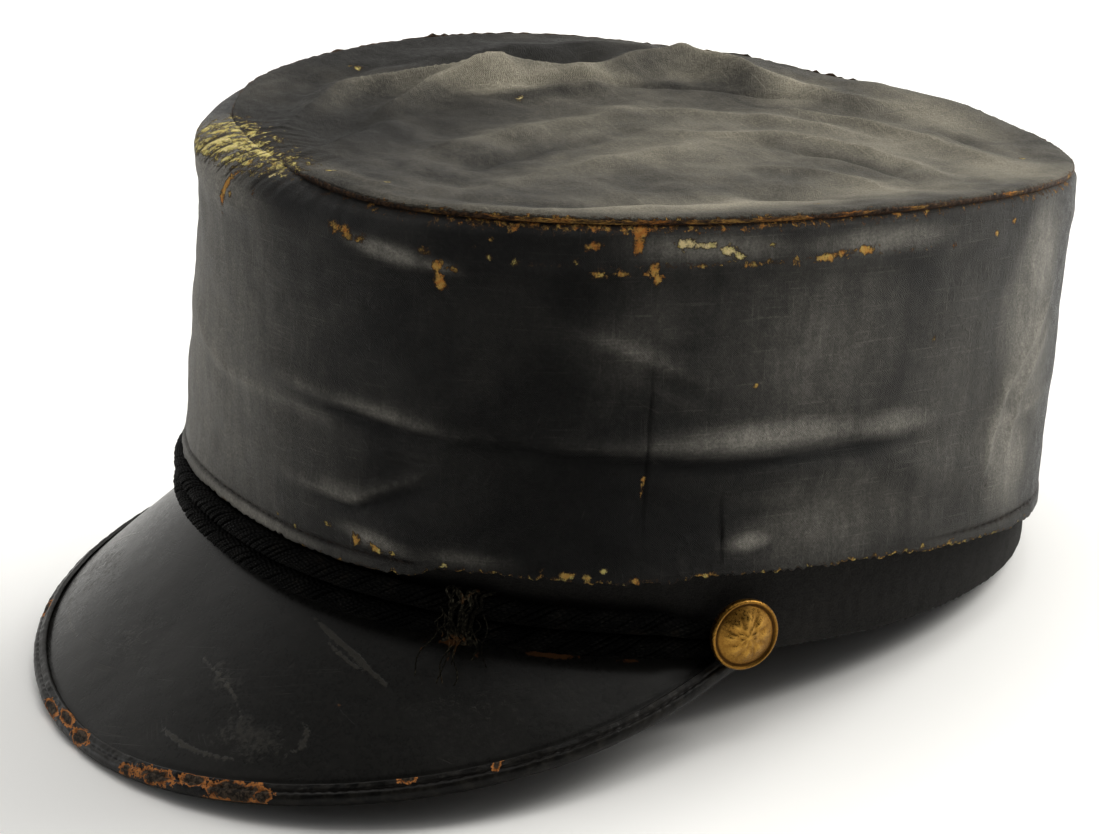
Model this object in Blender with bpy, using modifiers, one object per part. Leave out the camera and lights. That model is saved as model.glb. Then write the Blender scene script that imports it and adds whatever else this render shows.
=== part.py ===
"""A peaked cap: an oilcloth crown over a wool band, a leather peak, a mohair braid and two brass buttons.

Every shape is set out in the cap's own axes first: the front faces -Y, the wearer's left is +X,
and Z is zero at the foot of the band. A turn is an angle round the cap, in degrees, from the front
towards the wearer's left. A rise goes from 0 at the hem of the crown wall to 1 at its seam.
The whole cap is then leaned back, as it lies on a table: on the peak's edge and the back of the band.
"""
import math
import bpy
import numpy as np

# The gap that pieces keep, and how far the soft edges are pressed flat where the cap rests
GAP = 0.0003
FLATTENED = 0.0004

# The band, at the outer face of its foot
BAND_HALF_WIDTH = 0.0872
BAND_HALF_LENGTH = 0.0988
BAND_SET_BACK = 0.0012
BAND_WALL = 0.0025
BAND_TUCK = 0.0080

# The crown wall stands off the band by an ease, and leans in at the sides and out at the ends
CLOTH = 0.0018
HEM_SIDE_EASE = 0.0031
HEM_END_EASE = 0.0006
HEM_TURN_UP = 0.0042
HEM_FULLNESS = 0.0004
CROWN_HEIGHT = 0.0965
CROWN_SIDE_TAPER = 0.0054
CROWN_END_SPRING = 0.0085
CROWN_SET_BACK = 0.0053
SEAM_DIP = 0.0016
SEAM_DIP_TURN = -118.0
SEAM_DIP_SPREAD = 18.0
SHOULDER = 0.0014
FRONT_SHOULDER = 0.0054
FRONT_SHOULDER_TURN = 34.0
SHOULDER_DROP = 1.5
SHOULDER_ANGLE = 70.0
TIP_SAG = 0.0045
GATHER = 0.0006
GATHER_TURN = 12.0
GATHER_SPREAD = 32.0
GATHER_REACH = 0.90
GATHER_DEPTH = 0.14
WELT_RADIUS = 0.0009

# How square the ovals are, 2 being an ellipse, and how much fuller they are in front
BAND_SQUARENESS = 2.39
CROWN_SQUARENESS = 1.97
FRONT_FULLNESS = 0.03

# The cords of the braid, and the slides over them. The cords thin out under the buttons,
# over the turns that lie between two shares of the button's radius from its middle.
CORD_HALF_HEIGHT = 0.0028
CORD_HALF_DEPTH = 0.0024
CORD_END_SHARE = 0.78
CORD_THIN_FROM = 2.0
CORD_THIN_TO = 1.1
CORD_LIFT = 0.0002
HEM_CLEARANCE = 0.0028
KEEPER_TURN = 45.0
KEEPER_WIDTH = 0.0050
KEEPER_WALL = 0.0010

# The buttons
BUTTON_TURN = 80.0
BUTTON_RADIUS = 0.0084
BUTTON_HEIGHT = 0.0070
BUTTON_EASE = 0.0009
BUTTON_THICKNESS = 0.0046
SHANK_RADIUS = 0.0016

# The peak
PEAK_LENGTH = 0.0574
PEAK_TIP = 0.0025
PEAK_PAST_BUTTON = 1.0
PEAK_FULLNESS = 1.14
PEAK_FRONT_SLOPE = 47.0
PEAK_SIDE_SLOPE = 38.0
PEAK_BULGE = 0.0003
PEAK_ROOT = 0.0015
LEATHER = 0.0015
BINDING_WALL = 0.0010
BINDING_DEPTH = 0.0046
BINDING_SHARE = 0.8

# How finely the surfaces are divided, and what counts as an edge or as next to a turn, in degrees
SHARP_ANGLE = 50.0
NEARBY = 0.5
FRONT_STEP = 4.0
BACK_STEP = 5.0
FRONT_SPAN = 44.0
CORD_POINTS = 46
CORD_SIDES = 8
PEAK_COLUMNS = 38
BUTTON_STEPS = 16
WALL_RISES = (0.0, 0.05, 0.12, 0.22, 0.34, 0.46, 0.60, 0.76, 0.87, 0.93, 0.97, 1.0)
TIP_REACHES = (1.0, 0.95, 0.87, 0.74, 0.58, 0.38, 0.18)
PEAK_RUNS = (0.0, 0.2, 0.4, 0.6, 0.8, 1.0)

# The heights of the three edges: a level, and waves once, twice, three and four times round the cap,
# each as a share of CROWN_HEIGHT
EDGE_WAVES = {
    "foot": {"level": -0.004, "once": 0.002, "twice": 0.020, "thrice": 0.0, "four": -0.010},
    "hem": {"level": 0.0, "once": 0.005, "twice": -0.019, "thrice": 0.0, "four": 0.0},
    "seam": {"level": 0.0, "once": 0.045, "twice": -0.034, "thrice": 0.008, "four": 0.0},
}

# Folds and dents of the crown wall. Turns are degrees, rises are shares of the wall's height,
# slant is the rise that the fold gains per degree, and depth is a share of CROWN_HEIGHT.
# They fade out towards the wall's two edges.
FOLD_FADE = 8.0
FOLD_COLUMNS = ("turn", "turn_spread", "rise", "rise_spread", "slant", "depth")
WALL_FOLDS = {
    "stiffener_edge": (60.0, 150.0, 0.88, 0.030, 0.0, 0.007),
    "front_step": (-8.0, 22.0, 0.46, 0.060, 0.0, 0.007),
    "front_diagonal": (22.0, 15.0, 0.42, 0.050, -0.0040, 0.011),
    "corner_dent": (33.0, 9.0, 0.25, 0.060, 0.0050, -0.014),
    "long_fold": (92.0, 30.0, 0.31, 0.055, -0.0030, 0.010),
    "long_hollow": (86.0, 34.0, 0.19, 0.060, -0.0020, -0.009),
    "back_hollow": (121.0, 9.0, 0.50, 0.220, 0.0, -0.008),
    "far_fold": (-75.0, 35.0, 0.38, 0.070, 0.0020, 0.009),
    "far_dent": (-128.0, 16.0, 0.45, 0.160, 0.0, -0.009),
}

# Folds of the tip. Across and along are places as shares of the crown's half width and half length,
# length and width are shares of its half length, heading is degrees from +Y towards +X,
# and height is a share of CROWN_HEIGHT.
TIP_FOLD_COLUMNS = ("across", "along", "length", "width", "heading", "height")
TIP_FOLDS = {
    "tent": (-0.58, -0.20, 0.36, 0.090, -33.0, 0.060),
    "tent_apex": (-0.70, 0.03, 0.12, 0.100, 0.0, 0.030),
    "far_ridge": (-0.74, 0.46, 0.30, 0.090, -5.0, 0.055),
    "back_ridge": (-0.34, 0.80, 0.34, 0.090, 48.0, 0.036),
    "front_ridge": (-0.68, -0.42, 0.26, 0.075, -30.0, 0.030),
    "crease": (-0.50, 0.20, 0.36, 0.050, 0.0, -0.026),
    "near_hollow": (0.66, 0.02, 0.50, 0.090, 0.0, -0.018),
    "swell": (-0.05, 0.12, 0.60, 0.400, 0.0, 0.030),
    "front_tent": (0.02, -0.66, 0.22, 0.100, -28.0, 0.022),
}

# The binding's outer face across the peak's edge, from its upper inner end to its lower one:
# back from the edge as a share of its depth, and a side of the leather, 1 above and -1 below
BINDING_NOSE = 0.10
BINDING_PROFILE = (
    (1.0, 1.0),
    (0.45, 1.0),
    (BINDING_NOSE, 0.75),
    (0.0, 0.0),
    (BINDING_NOSE, -0.75),
    (0.45, -1.0),
    (1.0, -1.0),
)

# The slides' section round the two cords, as degrees round each cord from straight out, upwards
KEEPER_ANGLES = (
    (-55.0, -25.0, 0.0),
    (0.0, 35.0, 70.0, 105.0),
)

# The button's half section from the middle of its front to its back:
# back from its front as a share of its thickness, and a share of its radius
BUTTON_PROFILE = (
    (0.0, 0.0),
    (0.10, 0.40),
    (0.36, 0.74),
    (0.50, 0.84),
    (0.36, 0.91),
    (0.46, 0.98),
    (0.66, 1.0),
    (1.0, 0.88),
)

# Colours as linear values, roughness and metallic
MATERIALS = {
    "oilcloth_wall": ((0.030, 0.029, 0.027), 0.62, 0.0),
    "oilcloth_tip": ((0.075, 0.070, 0.062), 0.66, 0.0),
    "welt_cloth": ((0.060, 0.045, 0.025), 0.75, 0.0),
    "wool": ((0.010, 0.010, 0.010), 0.92, 0.0),
    "glazed_leather": ((0.012, 0.012, 0.013), 0.32, 0.0),
    "mohair": ((0.012, 0.011, 0.011), 0.60, 0.0),
    "brass": ((0.620, 0.400, 0.110), 0.34, 1.0),
}

CORD_CORNER = 1.0 / math.cos(math.pi / CORD_SIDES)
STACK = 4.0 * CORD_HALF_HEIGHT + GAP
HEM_HEIGHT = STACK + HEM_CLEARANCE
HEM_HALF_WIDTH = BAND_HALF_WIDTH + HEM_SIDE_EASE + CLOTH
HEM_HALF_LENGTH = BAND_HALF_LENGTH + HEM_END_EASE + CLOTH
CROWN_HALF_WIDTH = HEM_HALF_WIDTH - CROWN_SIDE_TAPER
CROWN_HALF_LENGTH = HEM_HALF_LENGTH + CROWN_END_SPRING
BUTTON_STAND = GAP + 2.0 * CORD_HALF_DEPTH * CORD_END_SHARE + BUTTON_EASE
PEAK_TURN = BUTTON_TURN + PEAK_PAST_BUTTON


def oval(turns, half_width, half_length, squareness, set_back=0.0):
    """Points in plan of an oval that is fuller in front, one row of x and y for each turn."""
    sine = np.sin(np.radians(turns))
    cosine = np.cos(np.radians(turns))
    scale = (np.abs(sine) ** squareness + np.abs(cosine) ** squareness) ** (-1.0 / squareness)
    x = half_width * sine * scale * (1.0 + FRONT_FULLNESS * cosine)
    y = set_back - half_length * cosine * scale
    return np.stack([x, y], axis=-1)


def band_oval(turns):
    return oval(turns, BAND_HALF_WIDTH, BAND_HALF_LENGTH, BAND_SQUARENESS, BAND_SET_BACK)


def hem_oval(turns):
    return oval(turns, HEM_HALF_WIDTH, HEM_HALF_LENGTH, BAND_SQUARENESS, BAND_SET_BACK)


def crown_oval(turns):
    return oval(turns, CROWN_HALF_WIDTH, CROWN_HALF_LENGTH, CROWN_SQUARENESS, CROWN_SET_BACK)


def outward(turns, outline):
    """The level direction that faces straight out of an outline, for each turn."""
    along = outline(turns + NEARBY) - outline(turns - NEARBY)
    normal = np.stack([along[..., 1], -along[..., 0]], axis=-1)
    return normal / np.linalg.norm(normal, axis=-1, keepdims=True)


def edge_height(edge, base, turns):
    """The height of the band's foot, the hem or the seam above the level of the band's foot."""
    wave = EDGE_WAVES[edge]
    angle = np.radians(turns)
    share = wave["level"] + wave["once"] * np.cos(angle) + wave["twice"] * np.cos(2.0 * angle)
    share = share + wave["thrice"] * np.cos(3.0 * angle) + wave["four"] * np.cos(4.0 * angle)
    return base + CROWN_HEIGHT * share


def foot_height(turns):
    return edge_height("foot", 0.0, turns)


def hem_height(turns):
    return edge_height("hem", HEM_HEIGHT, turns)


def seam_height(turns):
    """The seam dips a little on the far side of the back."""
    away = turn_between(turns, SEAM_DIP_TURN) / SEAM_DIP_SPREAD
    return edge_height("seam", CROWN_HEIGHT, turns) - SEAM_DIP * np.exp(-away ** 2)


def turn_between(turns, middle):
    """Degrees from a middle turn, the short way round."""
    return (turns - middle + 180.0) % 360.0 - 180.0


def shoulder(turns):
    """How far the seam lies inside the wall's outline."""
    front = np.exp(-(turns / FRONT_SHOULDER_TURN) ** 2)
    return SHOULDER + FRONT_SHOULDER * front


def wall_relief(turns, rise):
    """How far the folds and dents push the wall outwards."""
    relief = np.zeros_like(turns)
    for values in WALL_FOLDS.values():
        fold = dict(zip(FOLD_COLUMNS, values))
        away = turn_between(turns, fold["turn"])
        middle = fold["rise"] + fold["slant"] * away
        shape = (away / fold["turn_spread"]) ** 2 + ((rise - middle) / fold["rise_spread"]) ** 2
        relief = relief + CROWN_HEIGHT * fold["depth"] * np.exp(-shape)
    return relief * min(1.0, FOLD_FADE * rise * (1.0 - rise))


def wall_points(turns, rise):
    """The wall's outer face at one rise: a loft from the hem's oval to the crown's, with a round shoulder."""
    low = hem_height(turns)
    high = seam_height(turns) - CLOTH - GAP
    height = low + (high - low) * rise
    drop = SHOULDER_DROP * shoulder(turns)
    into = np.clip((drop - (high - height)) / drop, 0.0, 1.0)
    bend = math.radians(SHOULDER_ANGLE)
    arc = 1.0 - np.sqrt(1.0 - (math.sin(bend) * into) ** 2)
    inset = shoulder(turns) * arc / (1.0 - math.cos(bend))
    plan = hem_oval(turns) * (1.0 - rise) + crown_oval(turns) * rise
    hem = HEM_FULLNESS * (height - low < HEM_TURN_UP)
    push = wall_relief(turns, rise) + hem - inset
    plan = plan + outward(turns, crown_oval) * push[:, None]
    return np.column_stack([plan, height])


def band_top(turns):
    """The band's upper edge, tucked up inside the crown wall."""
    top = wall_points(turns, BAND_TUCK / (CROWN_HEIGHT - HEM_HEIGHT))
    top[:, :2] -= outward(turns, hem_oval) * (CLOTH + 2.0 * GAP)
    return top


def band_face(turns, height):
    """The band's outer face in plan at some height: it leans out from its foot to its tucked edge."""
    top = band_top(turns)
    foot = foot_height(turns)
    share = ((height - foot) / (top[:, 2] - foot))[:, None]
    return band_oval(turns) * (1.0 - share) + top[:, :2] * share


def tip_relief(x, y):
    """The height that the folds of the tip add."""
    relief = np.zeros_like(x)
    for values in TIP_FOLDS.values():
        fold = dict(zip(TIP_FOLD_COLUMNS, values))
        across = x - fold["across"] * CROWN_HALF_WIDTH
        along = y - CROWN_SET_BACK - fold["along"] * CROWN_HALF_LENGTH
        heading = math.radians(fold["heading"])
        down = across * math.sin(heading) + along * math.cos(heading)
        aside = across * math.cos(heading) - along * math.sin(heading)
        length = fold["length"] * CROWN_HALF_LENGTH
        width = fold["width"] * CROWN_HALF_LENGTH
        relief = relief + CROWN_HEIGHT * fold["height"] * np.exp(-(down / length) ** 2 - (aside / width) ** 2)
    return relief


def seam_oval(turns):
    return crown_oval(turns) - outward(turns, crown_oval) * shoulder(turns)[:, None]


def tip_points(turns, reach):
    """The tip's upper face on one ring, from 1 at the seam to 0 in the middle."""
    middle = np.array([0.0, CROWN_SET_BACK])
    plan = middle + (seam_oval(turns) - middle) * reach
    wave = EDGE_WAVES["seam"]
    angle = np.radians(turns)
    share = wave["once"] * reach * np.cos(angle) + wave["twice"] * reach ** 2 * np.cos(2.0 * angle)
    share = share + wave["thrice"] * reach ** 3 * np.cos(3.0 * angle)
    dip = SEAM_DIP * np.exp(-(turn_between(turns, SEAM_DIP_TURN) / SEAM_DIP_SPREAD) ** 2)
    height = CROWN_HEIGHT * (1.0 + share) - TIP_SAG * (1.0 - reach ** 2) - dip * reach ** 4
    height = height + tip_relief(plan[:, 0], plan[:, 1]) * (1.0 - reach ** 8)
    gather = GATHER * np.cos(2.0 * np.pi * turns / GATHER_TURN) * np.exp(-(turns / GATHER_SPREAD) ** 2)
    height = height + gather * np.exp(-((GATHER_REACH - reach) / GATHER_DEPTH) ** 2) * (reach < 1.0)
    return np.column_stack([plan, height])


def peak_points(turns, out, lift=0.0):
    """The peak's upper face at distances out from its joint with the band, raised square to it by a lift."""
    turned = (turns / PEAK_TURN) ** 2
    slope = np.radians(PEAK_FRONT_SLOPE + (PEAK_SIDE_SLOPE - PEAK_FRONT_SLOPE) * turned)
    normal = outward(turns, band_oval)
    share = out / peak_length(turns)
    bulge = PEAK_BULGE * 4.0 * share * (1.0 - share) + lift
    level = PEAK_ROOT + out * np.cos(slope) + bulge * np.sin(slope)
    height = foot_height(turns) - GAP - out * np.sin(slope) + bulge * np.cos(slope)
    return np.column_stack([band_oval(turns) + normal * level[:, None], height])


def peak_length(turns):
    """How far the peak reaches from the band, down its slope."""
    full = np.clip(1.0 - (turns / PEAK_TURN) ** 2, 0.0, 1.0) ** PEAK_FULLNESS
    return PEAK_TIP + (PEAK_LENGTH - PEAK_TIP) * full


def cord_share(turns):
    """The cords thin out under the buttons, to CORD_END_SHARE of their size."""
    width = math.degrees(BUTTON_RADIUS / BAND_HALF_WIDTH)
    start = BUTTON_TURN - CORD_THIN_FROM * width
    into = np.clip((np.abs(turns) - start) / ((CORD_THIN_FROM - CORD_THIN_TO) * width), 0.0, 1.0)
    return 1.0 - (1.0 - CORD_END_SHARE) * into * into * (3.0 - 2.0 * into)


def cord_points(turns, row):
    """The middle line of one cord: row 0 is the lower one, row 1 the upper one."""
    share = cord_share(turns)
    normal = outward(turns, band_oval)
    stand = GAP + CORD_HALF_DEPTH * share
    height = foot_height(turns) + CORD_LIFT + CORD_HALF_HEIGHT * share * (1.0 + 2.0 * row) + GAP * row
    face = band_face(turns, height + CORD_HALF_HEIGHT * share)
    return np.column_stack([face + normal * stand[:, None], height])


def cap_turns():
    """Turns once round the cap, closer together in front where the cloth is gathered."""
    front = np.arange(-FRONT_SPAN, FRONT_SPAN, FRONT_STEP)
    back_count = round((360.0 - 2.0 * FRONT_SPAN) / BACK_STEP)
    back = FRONT_SPAN + np.arange(back_count) * (360.0 - 2.0 * FRONT_SPAN) / back_count
    turns = np.concatenate([front, back])
    return (turns + 180.0) % 360.0 - 180.0


def clear_scene():
    for thing in list(bpy.data.objects):
        bpy.data.objects.remove(thing, do_unlink=True)


def make_collection(name):
    collection = bpy.data.collections.new(name)
    bpy.context.scene.collection.children.link(collection)
    return collection


def make_material(name):
    colour, roughness, metallic = MATERIALS[name]
    material = bpy.data.materials.new(name)
    material.use_nodes = True
    shader = material.node_tree.nodes["Principled BSDF"]
    shader.inputs["Base Color"].default_value = (*colour, 1.0)
    shader.inputs["Roughness"].default_value = roughness
    shader.inputs["Metallic"].default_value = metallic
    material.diffuse_color = (*colour, 1.0)
    return material


def add_object(name, data, material, collection, parent):
    thing = bpy.data.objects.new(name, data)
    data.materials.append(material)
    collection.objects.link(thing)
    thing.parent = parent
    return thing


def grid_faces(rows, columns, closed):
    """Faces of a grid whose outer side is seen with columns going right and rows going up."""
    faces = []
    last = columns if closed else columns - 1
    for row in range(rows - 1):
        for column in range(last):
            after = (column + 1) % columns
            low = row * columns
            high = low + columns
            faces.append((low + column, low + after, high + after, high + column))
    return faces


def add_sheet(name, rows, wall, material, collection, parent, closed=False, middle=None):
    """A shell: an open surface through rows of points, with a Solidify wall on its inner side."""
    points = np.concatenate(rows)
    faces = grid_faces(len(rows), len(rows[0]), closed)
    if middle is not None:
        centre = len(points)
        first = centre - len(rows[0])
        points = np.concatenate([points, [middle]])
        for column in range(len(rows[0])):
            faces.append((first + column, first + (column + 1) % len(rows[0]), centre))
    mesh = bpy.data.meshes.new(name)
    mesh.from_pydata([tuple(point) for point in points.tolist()], [], faces)
    mesh.shade_smooth()
    mesh.set_sharp_from_angle(angle=math.radians(SHARP_ANGLE))
    thing = add_object(name, mesh, material, collection, parent)
    solidify = thing.modifiers.new("wall", "SOLIDIFY")
    solidify.thickness = wall
    solidify.offset = -1.0
    solidify.use_even_offset = True
    return thing


def add_tube(name, points, radii, bevel, material, collection, parent, closed=False):
    """A cord: a curve through the points, with a bevel given as a depth or as a profile curve."""
    curve = bpy.data.curves.new(name, "CURVE")
    curve.dimensions = "3D"
    curve.twist_mode = "Z_UP"
    curve.use_fill_caps = not closed
    if isinstance(bevel, float):
        curve.bevel_depth = bevel
        curve.bevel_resolution = 1
    else:
        curve.bevel_mode = "OBJECT"
        curve.bevel_object = bevel
    spline = curve.splines.new("POLY")
    spline.points.add(len(points) - 1)
    for target, point, radius in zip(spline.points, points.tolist(), radii.tolist()):
        target.co = (*point, 1.0)
        target.radius = radius
    spline.use_cyclic_u = closed
    return add_object(name, curve, material, collection, parent)


def add_cord_profile(collection):
    """The cords' oval section, as a closed flat curve."""
    curve = bpy.data.curves.new("cord_section", "CURVE")
    curve.dimensions = "2D"
    spline = curve.splines.new("POLY")
    spline.points.add(CORD_SIDES - 1)
    for number in range(CORD_SIDES):
        angle = -2.0 * math.pi * (number + 0.5) / CORD_SIDES
        across = CORD_HALF_DEPTH * math.cos(angle) * CORD_CORNER
        up = CORD_HALF_HEIGHT * math.sin(angle) * CORD_CORNER
        spline.points[number].co = (across, up, 0.0, 1.0)
    spline.use_cyclic_u = True
    guide = bpy.data.objects.new("cord_section", curve)
    guide.hide_render = True
    guide.display_type = "WIRE"
    collection.objects.link(guide)
    return guide


def lean_and_place(rest):
    """Leans the cap back on to its two resting points, and centres it over the origin."""
    front = binding_points(np.array([0.0]), len(BINDING_PROFILE) // 2 + 1)[0]
    back = np.array([*band_oval(np.array([180.0]))[0], foot_height(np.array([180.0]))[0]])
    lean = math.atan2(back[2] - front[2], back[1] - front[1])
    crown = seam_oval(np.array([180.0]))[0]
    rear = crown[1] + GAP + 2.0 * WELT_RADIUS
    rear_height = seam_height(np.array([180.0]))[0]
    rear_reach = rear * math.cos(lean) + rear_height * math.sin(lean)
    nose = binding_points(np.array([0.0]), len(BINDING_PROFILE) // 2 - 1)[0]
    front_reach = nose[1] * math.cos(lean) + nose[2] * math.sin(lean)
    depth = -back[1] * math.sin(lean) + back[2] * math.cos(lean)
    rest.rotation_euler = (-lean, 0.0, 0.0)
    rest.location = (0.0, -(rear_reach + front_reach) / 2.0, -depth - FLATTENED)


def binding_points(turns, place):
    """The binding's outer face at one place of its profile."""
    back, side = BINDING_PROFILE[place]
    half = LEATHER / 2.0 + GAP + BINDING_WALL
    lift = side * half - LEATHER / 2.0
    length = peak_length(turns)
    depth = np.minimum(BINDING_DEPTH, BINDING_SHARE * length)
    return peak_points(turns, length - back * depth, lift)


def add_floor(collection):
    """The surface that the cap rests on, as a cutter: it presses the soft edges flat."""
    depth = CROWN_HEIGHT / 2.0
    width = 4.0 * CROWN_HALF_LENGTH
    bpy.ops.mesh.primitive_cube_add(size=1.0, location=(0.0, 0.0, -depth / 2.0))
    floor = bpy.context.object
    floor.name = "floor"
    floor.scale = (width, width, depth)
    bpy.ops.object.transform_apply(location=False, rotation=False, scale=True)
    floor.hide_render = True
    floor.display_type = "WIRE"
    for owner in list(floor.users_collection):
        owner.objects.unlink(floor)
    collection.objects.link(floor)
    return floor


def flatten(thing, floor):
    cut = thing.modifiers.new("pressed_flat", "BOOLEAN")
    cut.operation = "DIFFERENCE"
    cut.solver = "EXACT"
    cut.object = floor


def add_crown(materials, parts, rest):
    turns = cap_turns()
    wall_rows = [wall_points(turns, rise) for rise in WALL_RISES]
    add_sheet("crown_wall", wall_rows, CLOTH, materials["oilcloth_wall"], parts, rest, closed=True)
    tip_rows = [tip_points(turns, reach) for reach in TIP_REACHES]
    middle = tip_points(np.array([0.0]), 0.0)[0]
    add_sheet("crown_top", tip_rows, CLOTH, materials["oilcloth_tip"], parts, rest, closed=True, middle=middle)
    normal = outward(turns, seam_oval)
    plan = seam_oval(turns) + normal * (GAP + WELT_RADIUS)
    points = np.column_stack([plan, seam_height(turns) - CLOTH / 2.0])
    even = np.ones(len(turns))
    add_tube("top_welt", points, even, WELT_RADIUS, materials["welt_cloth"], parts, rest, closed=True)


def add_band(materials, parts, rest, floor):
    turns = cap_turns()
    foot = foot_height(turns)
    top = band_top(turns)[:, 2]
    rows = []
    for share in (0.0, 0.5, 1.0):
        height = foot * (1.0 - share) + top * share
        rows.append(np.column_stack([band_face(turns, height), height]))
    band = add_sheet("band", rows, BAND_WALL, materials["wool"], parts, rest, closed=True)
    flatten(band, floor)


def add_peak(materials, parts, rest, floor):
    turns = np.linspace(-PEAK_TURN, PEAK_TURN, PEAK_COLUMNS)
    edge = BINDING_WALL + BINDING_NOSE * BINDING_DEPTH + 2.0 * GAP
    reach = peak_length(turns) - np.minimum(edge, peak_length(turns) / 2.0)
    rows = [peak_points(turns, reach * run) for run in PEAK_RUNS]
    root = rows[0].copy()
    root[:, :2] -= outward(turns, band_oval) * (PEAK_ROOT + BAND_WALL)
    rows = [root] + rows
    add_sheet("peak", rows[::-1], LEATHER, materials["glazed_leather"], parts, rest)
    rows = [binding_points(turns, place) for place in range(len(BINDING_PROFILE))]
    binding = add_sheet("peak_binding", rows[::-1], BINDING_WALL, materials["glazed_leather"], parts, rest)
    flatten(binding, floor)


def add_braid(materials, parts, guides, rest):
    end = BUTTON_TURN - math.degrees((SHANK_RADIUS + GAP) / BAND_HALF_WIDTH)
    turns = np.linspace(-end, end, CORD_POINTS)
    section = add_cord_profile(guides)
    for row, name in enumerate(("braid_lower", "braid_upper")):
        points = cord_points(turns, row)
        add_tube(name, points, cord_share(turns), section, materials["mohair"], parts, rest)


def add_keeper(name, middle, materials, parts, rest):
    """A slide bent over both cords: from under the lower one, up their fronts and over the upper one."""
    half = math.degrees(KEEPER_WIDTH / 2.0 / BAND_HALF_WIDTH)
    turns = np.linspace(middle - half, middle + half, 4)
    out = CORD_HALF_DEPTH * CORD_CORNER + 2.0 * GAP + KEEPER_WALL
    up = CORD_HALF_HEIGHT * CORD_CORNER + 2.0 * GAP + KEEPER_WALL
    rows = []
    for row, angles in enumerate(KEEPER_ANGLES):
        line = cord_points(turns, row)
        for angle in angles:
            points = line.copy()
            points[:, :2] += outward(turns, band_oval) * out * math.cos(math.radians(angle))
            points[:, 2] += up * math.sin(math.radians(angle))
            rows.append(points)
    add_sheet(name, rows, KEEPER_WALL, materials["mohair"], parts, rest)


def button_profile():
    """The button's half section, from its front to the end of its shank: distances out and radii."""
    face = BUTTON_STAND + BUTTON_THICKNESS
    profile = [(face - back * BUTTON_THICKNESS, share * BUTTON_RADIUS) for back, share in BUTTON_PROFILE]
    return profile + [(BUTTON_STAND, SHANK_RADIUS), (GAP, SHANK_RADIUS), (GAP, 0.0)]


def add_button(name, turn, materials, parts, rest):
    """A turned button on its shank, square to the band."""
    profile = button_profile()
    mesh = bpy.data.meshes.new(name)
    edges = [(number, number + 1) for number in range(len(profile) - 1)]
    mesh.from_pydata([(radius, 0.0, out) for out, radius in profile], edges, [])
    button = add_object(name, mesh, materials["brass"], parts, rest)
    screw = button.modifiers.new("turned", "SCREW")
    screw.angle = 2.0 * math.pi
    screw.steps = BUTTON_STEPS
    screw.render_steps = BUTTON_STEPS
    screw.use_merge_vertices = True
    screw.merge_threshold = 0.00005
    turns = np.array([turn])
    height = foot_height(turns) + BUTTON_HEIGHT
    x, y = band_face(turns, height)[0]
    normal = outward(turns, band_oval)[0]
    button.location = (x, y, height[0])
    button.rotation_euler = (math.pi / 2.0, 0.0, math.atan2(normal[0], -normal[1]))


def build():
    clear_scene()
    parts = make_collection("peaked_cap")
    guides = make_collection("guides")
    rest = bpy.data.objects.new("rest", None)
    parts.objects.link(rest)
    lean_and_place(rest)
    floor = add_floor(guides)
    materials = {name: make_material(name) for name in MATERIALS}
    add_crown(materials, parts, rest)
    add_band(materials, parts, rest, floor)
    add_peak(materials, parts, rest, floor)
    add_braid(materials, parts, guides, rest)
    for side, sign in (("left", 1.0), ("right", -1.0)):
        add_keeper("keeper_" + side, sign * KEEPER_TURN, materials, parts, rest)
        add_button("button_" + side, sign * BUTTON_TURN, materials, parts, rest)


build()
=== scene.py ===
"""The looks of a worn peaked cap: oilcloth over a wool band, a glazed peak, a mohair braid and brass buttons.

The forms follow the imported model. They are set out in the cap's own axes, front towards -Y and the
wearer's left towards +X, with Z at zero at the foot of the band, and then leaned back as the cap lies.
A turn is an angle round the cap in degrees, from the front towards the wearer's left.
A rise goes from 0 at the hem of the crown wall to 1 at its seam. Lengths are metres unless they say mm.
"""
import math

import bpy
import numpy as np
from mathutils import Matrix, Vector


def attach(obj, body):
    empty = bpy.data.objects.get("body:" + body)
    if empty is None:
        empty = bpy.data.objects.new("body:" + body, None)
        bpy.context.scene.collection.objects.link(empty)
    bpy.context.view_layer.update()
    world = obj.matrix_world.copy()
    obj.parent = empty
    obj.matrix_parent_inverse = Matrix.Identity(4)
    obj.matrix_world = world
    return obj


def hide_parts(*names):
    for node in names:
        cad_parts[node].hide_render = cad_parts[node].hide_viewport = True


MM = 0.001
WHOLE_TURN = 2.0 * math.pi

# The model's own sizes
GAP = 0.0003
FLATTENED = 0.0004
BAND_HALF_WIDTH = 0.0872
BAND_HALF_LENGTH = 0.0988
BAND_SET_BACK = 0.0012
BAND_WALL = 0.0025
BAND_TUCK = 0.0080
CLOTH = 0.0018
HEM_SIDE_EASE = 0.0031
HEM_END_EASE = 0.0006
CROWN_HEIGHT = 0.0965
CROWN_SIDE_TAPER = 0.0054
CROWN_END_SPRING = 0.0085
CROWN_SET_BACK = 0.0053
SHOULDER = 0.0014
FRONT_SHOULDER = 0.0054
FRONT_SHOULDER_TURN = 34.0
FRONT_GATHER = 0.0027
FRONT_GATHER_TURN = -11.0
FRONT_GATHER_SPREAD = 30.0
SHOULDER_DROP = 1.5
SHOULDER_ANGLE = 70.0
TIP_SAG = 0.0045
WELT_RADIUS = 0.0009
SEAM_OUT = 0.00015
SEAM_BELOW = 0.0024
SEAM_HALF_THICKNESS = 0.00050
BAND_SQUARENESS = 2.39
CROWN_SQUARENESS = 1.97
FRONT_FULLNESS = 0.03
CORD_HALF_HEIGHT = 0.0028
CORD_HALF_DEPTH = 0.0024
CORD_END_SHARE = 0.78
CORD_THIN_FROM = 2.0
CORD_THIN_TO = 1.1
CORD_LIFT = 0.0002
YARNS = 19
YARN_RADIUS = 0.00045
LAY = 0.024
HEM_CLEARANCE = 0.0028
KEEPER_TURN = 45.0
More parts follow.
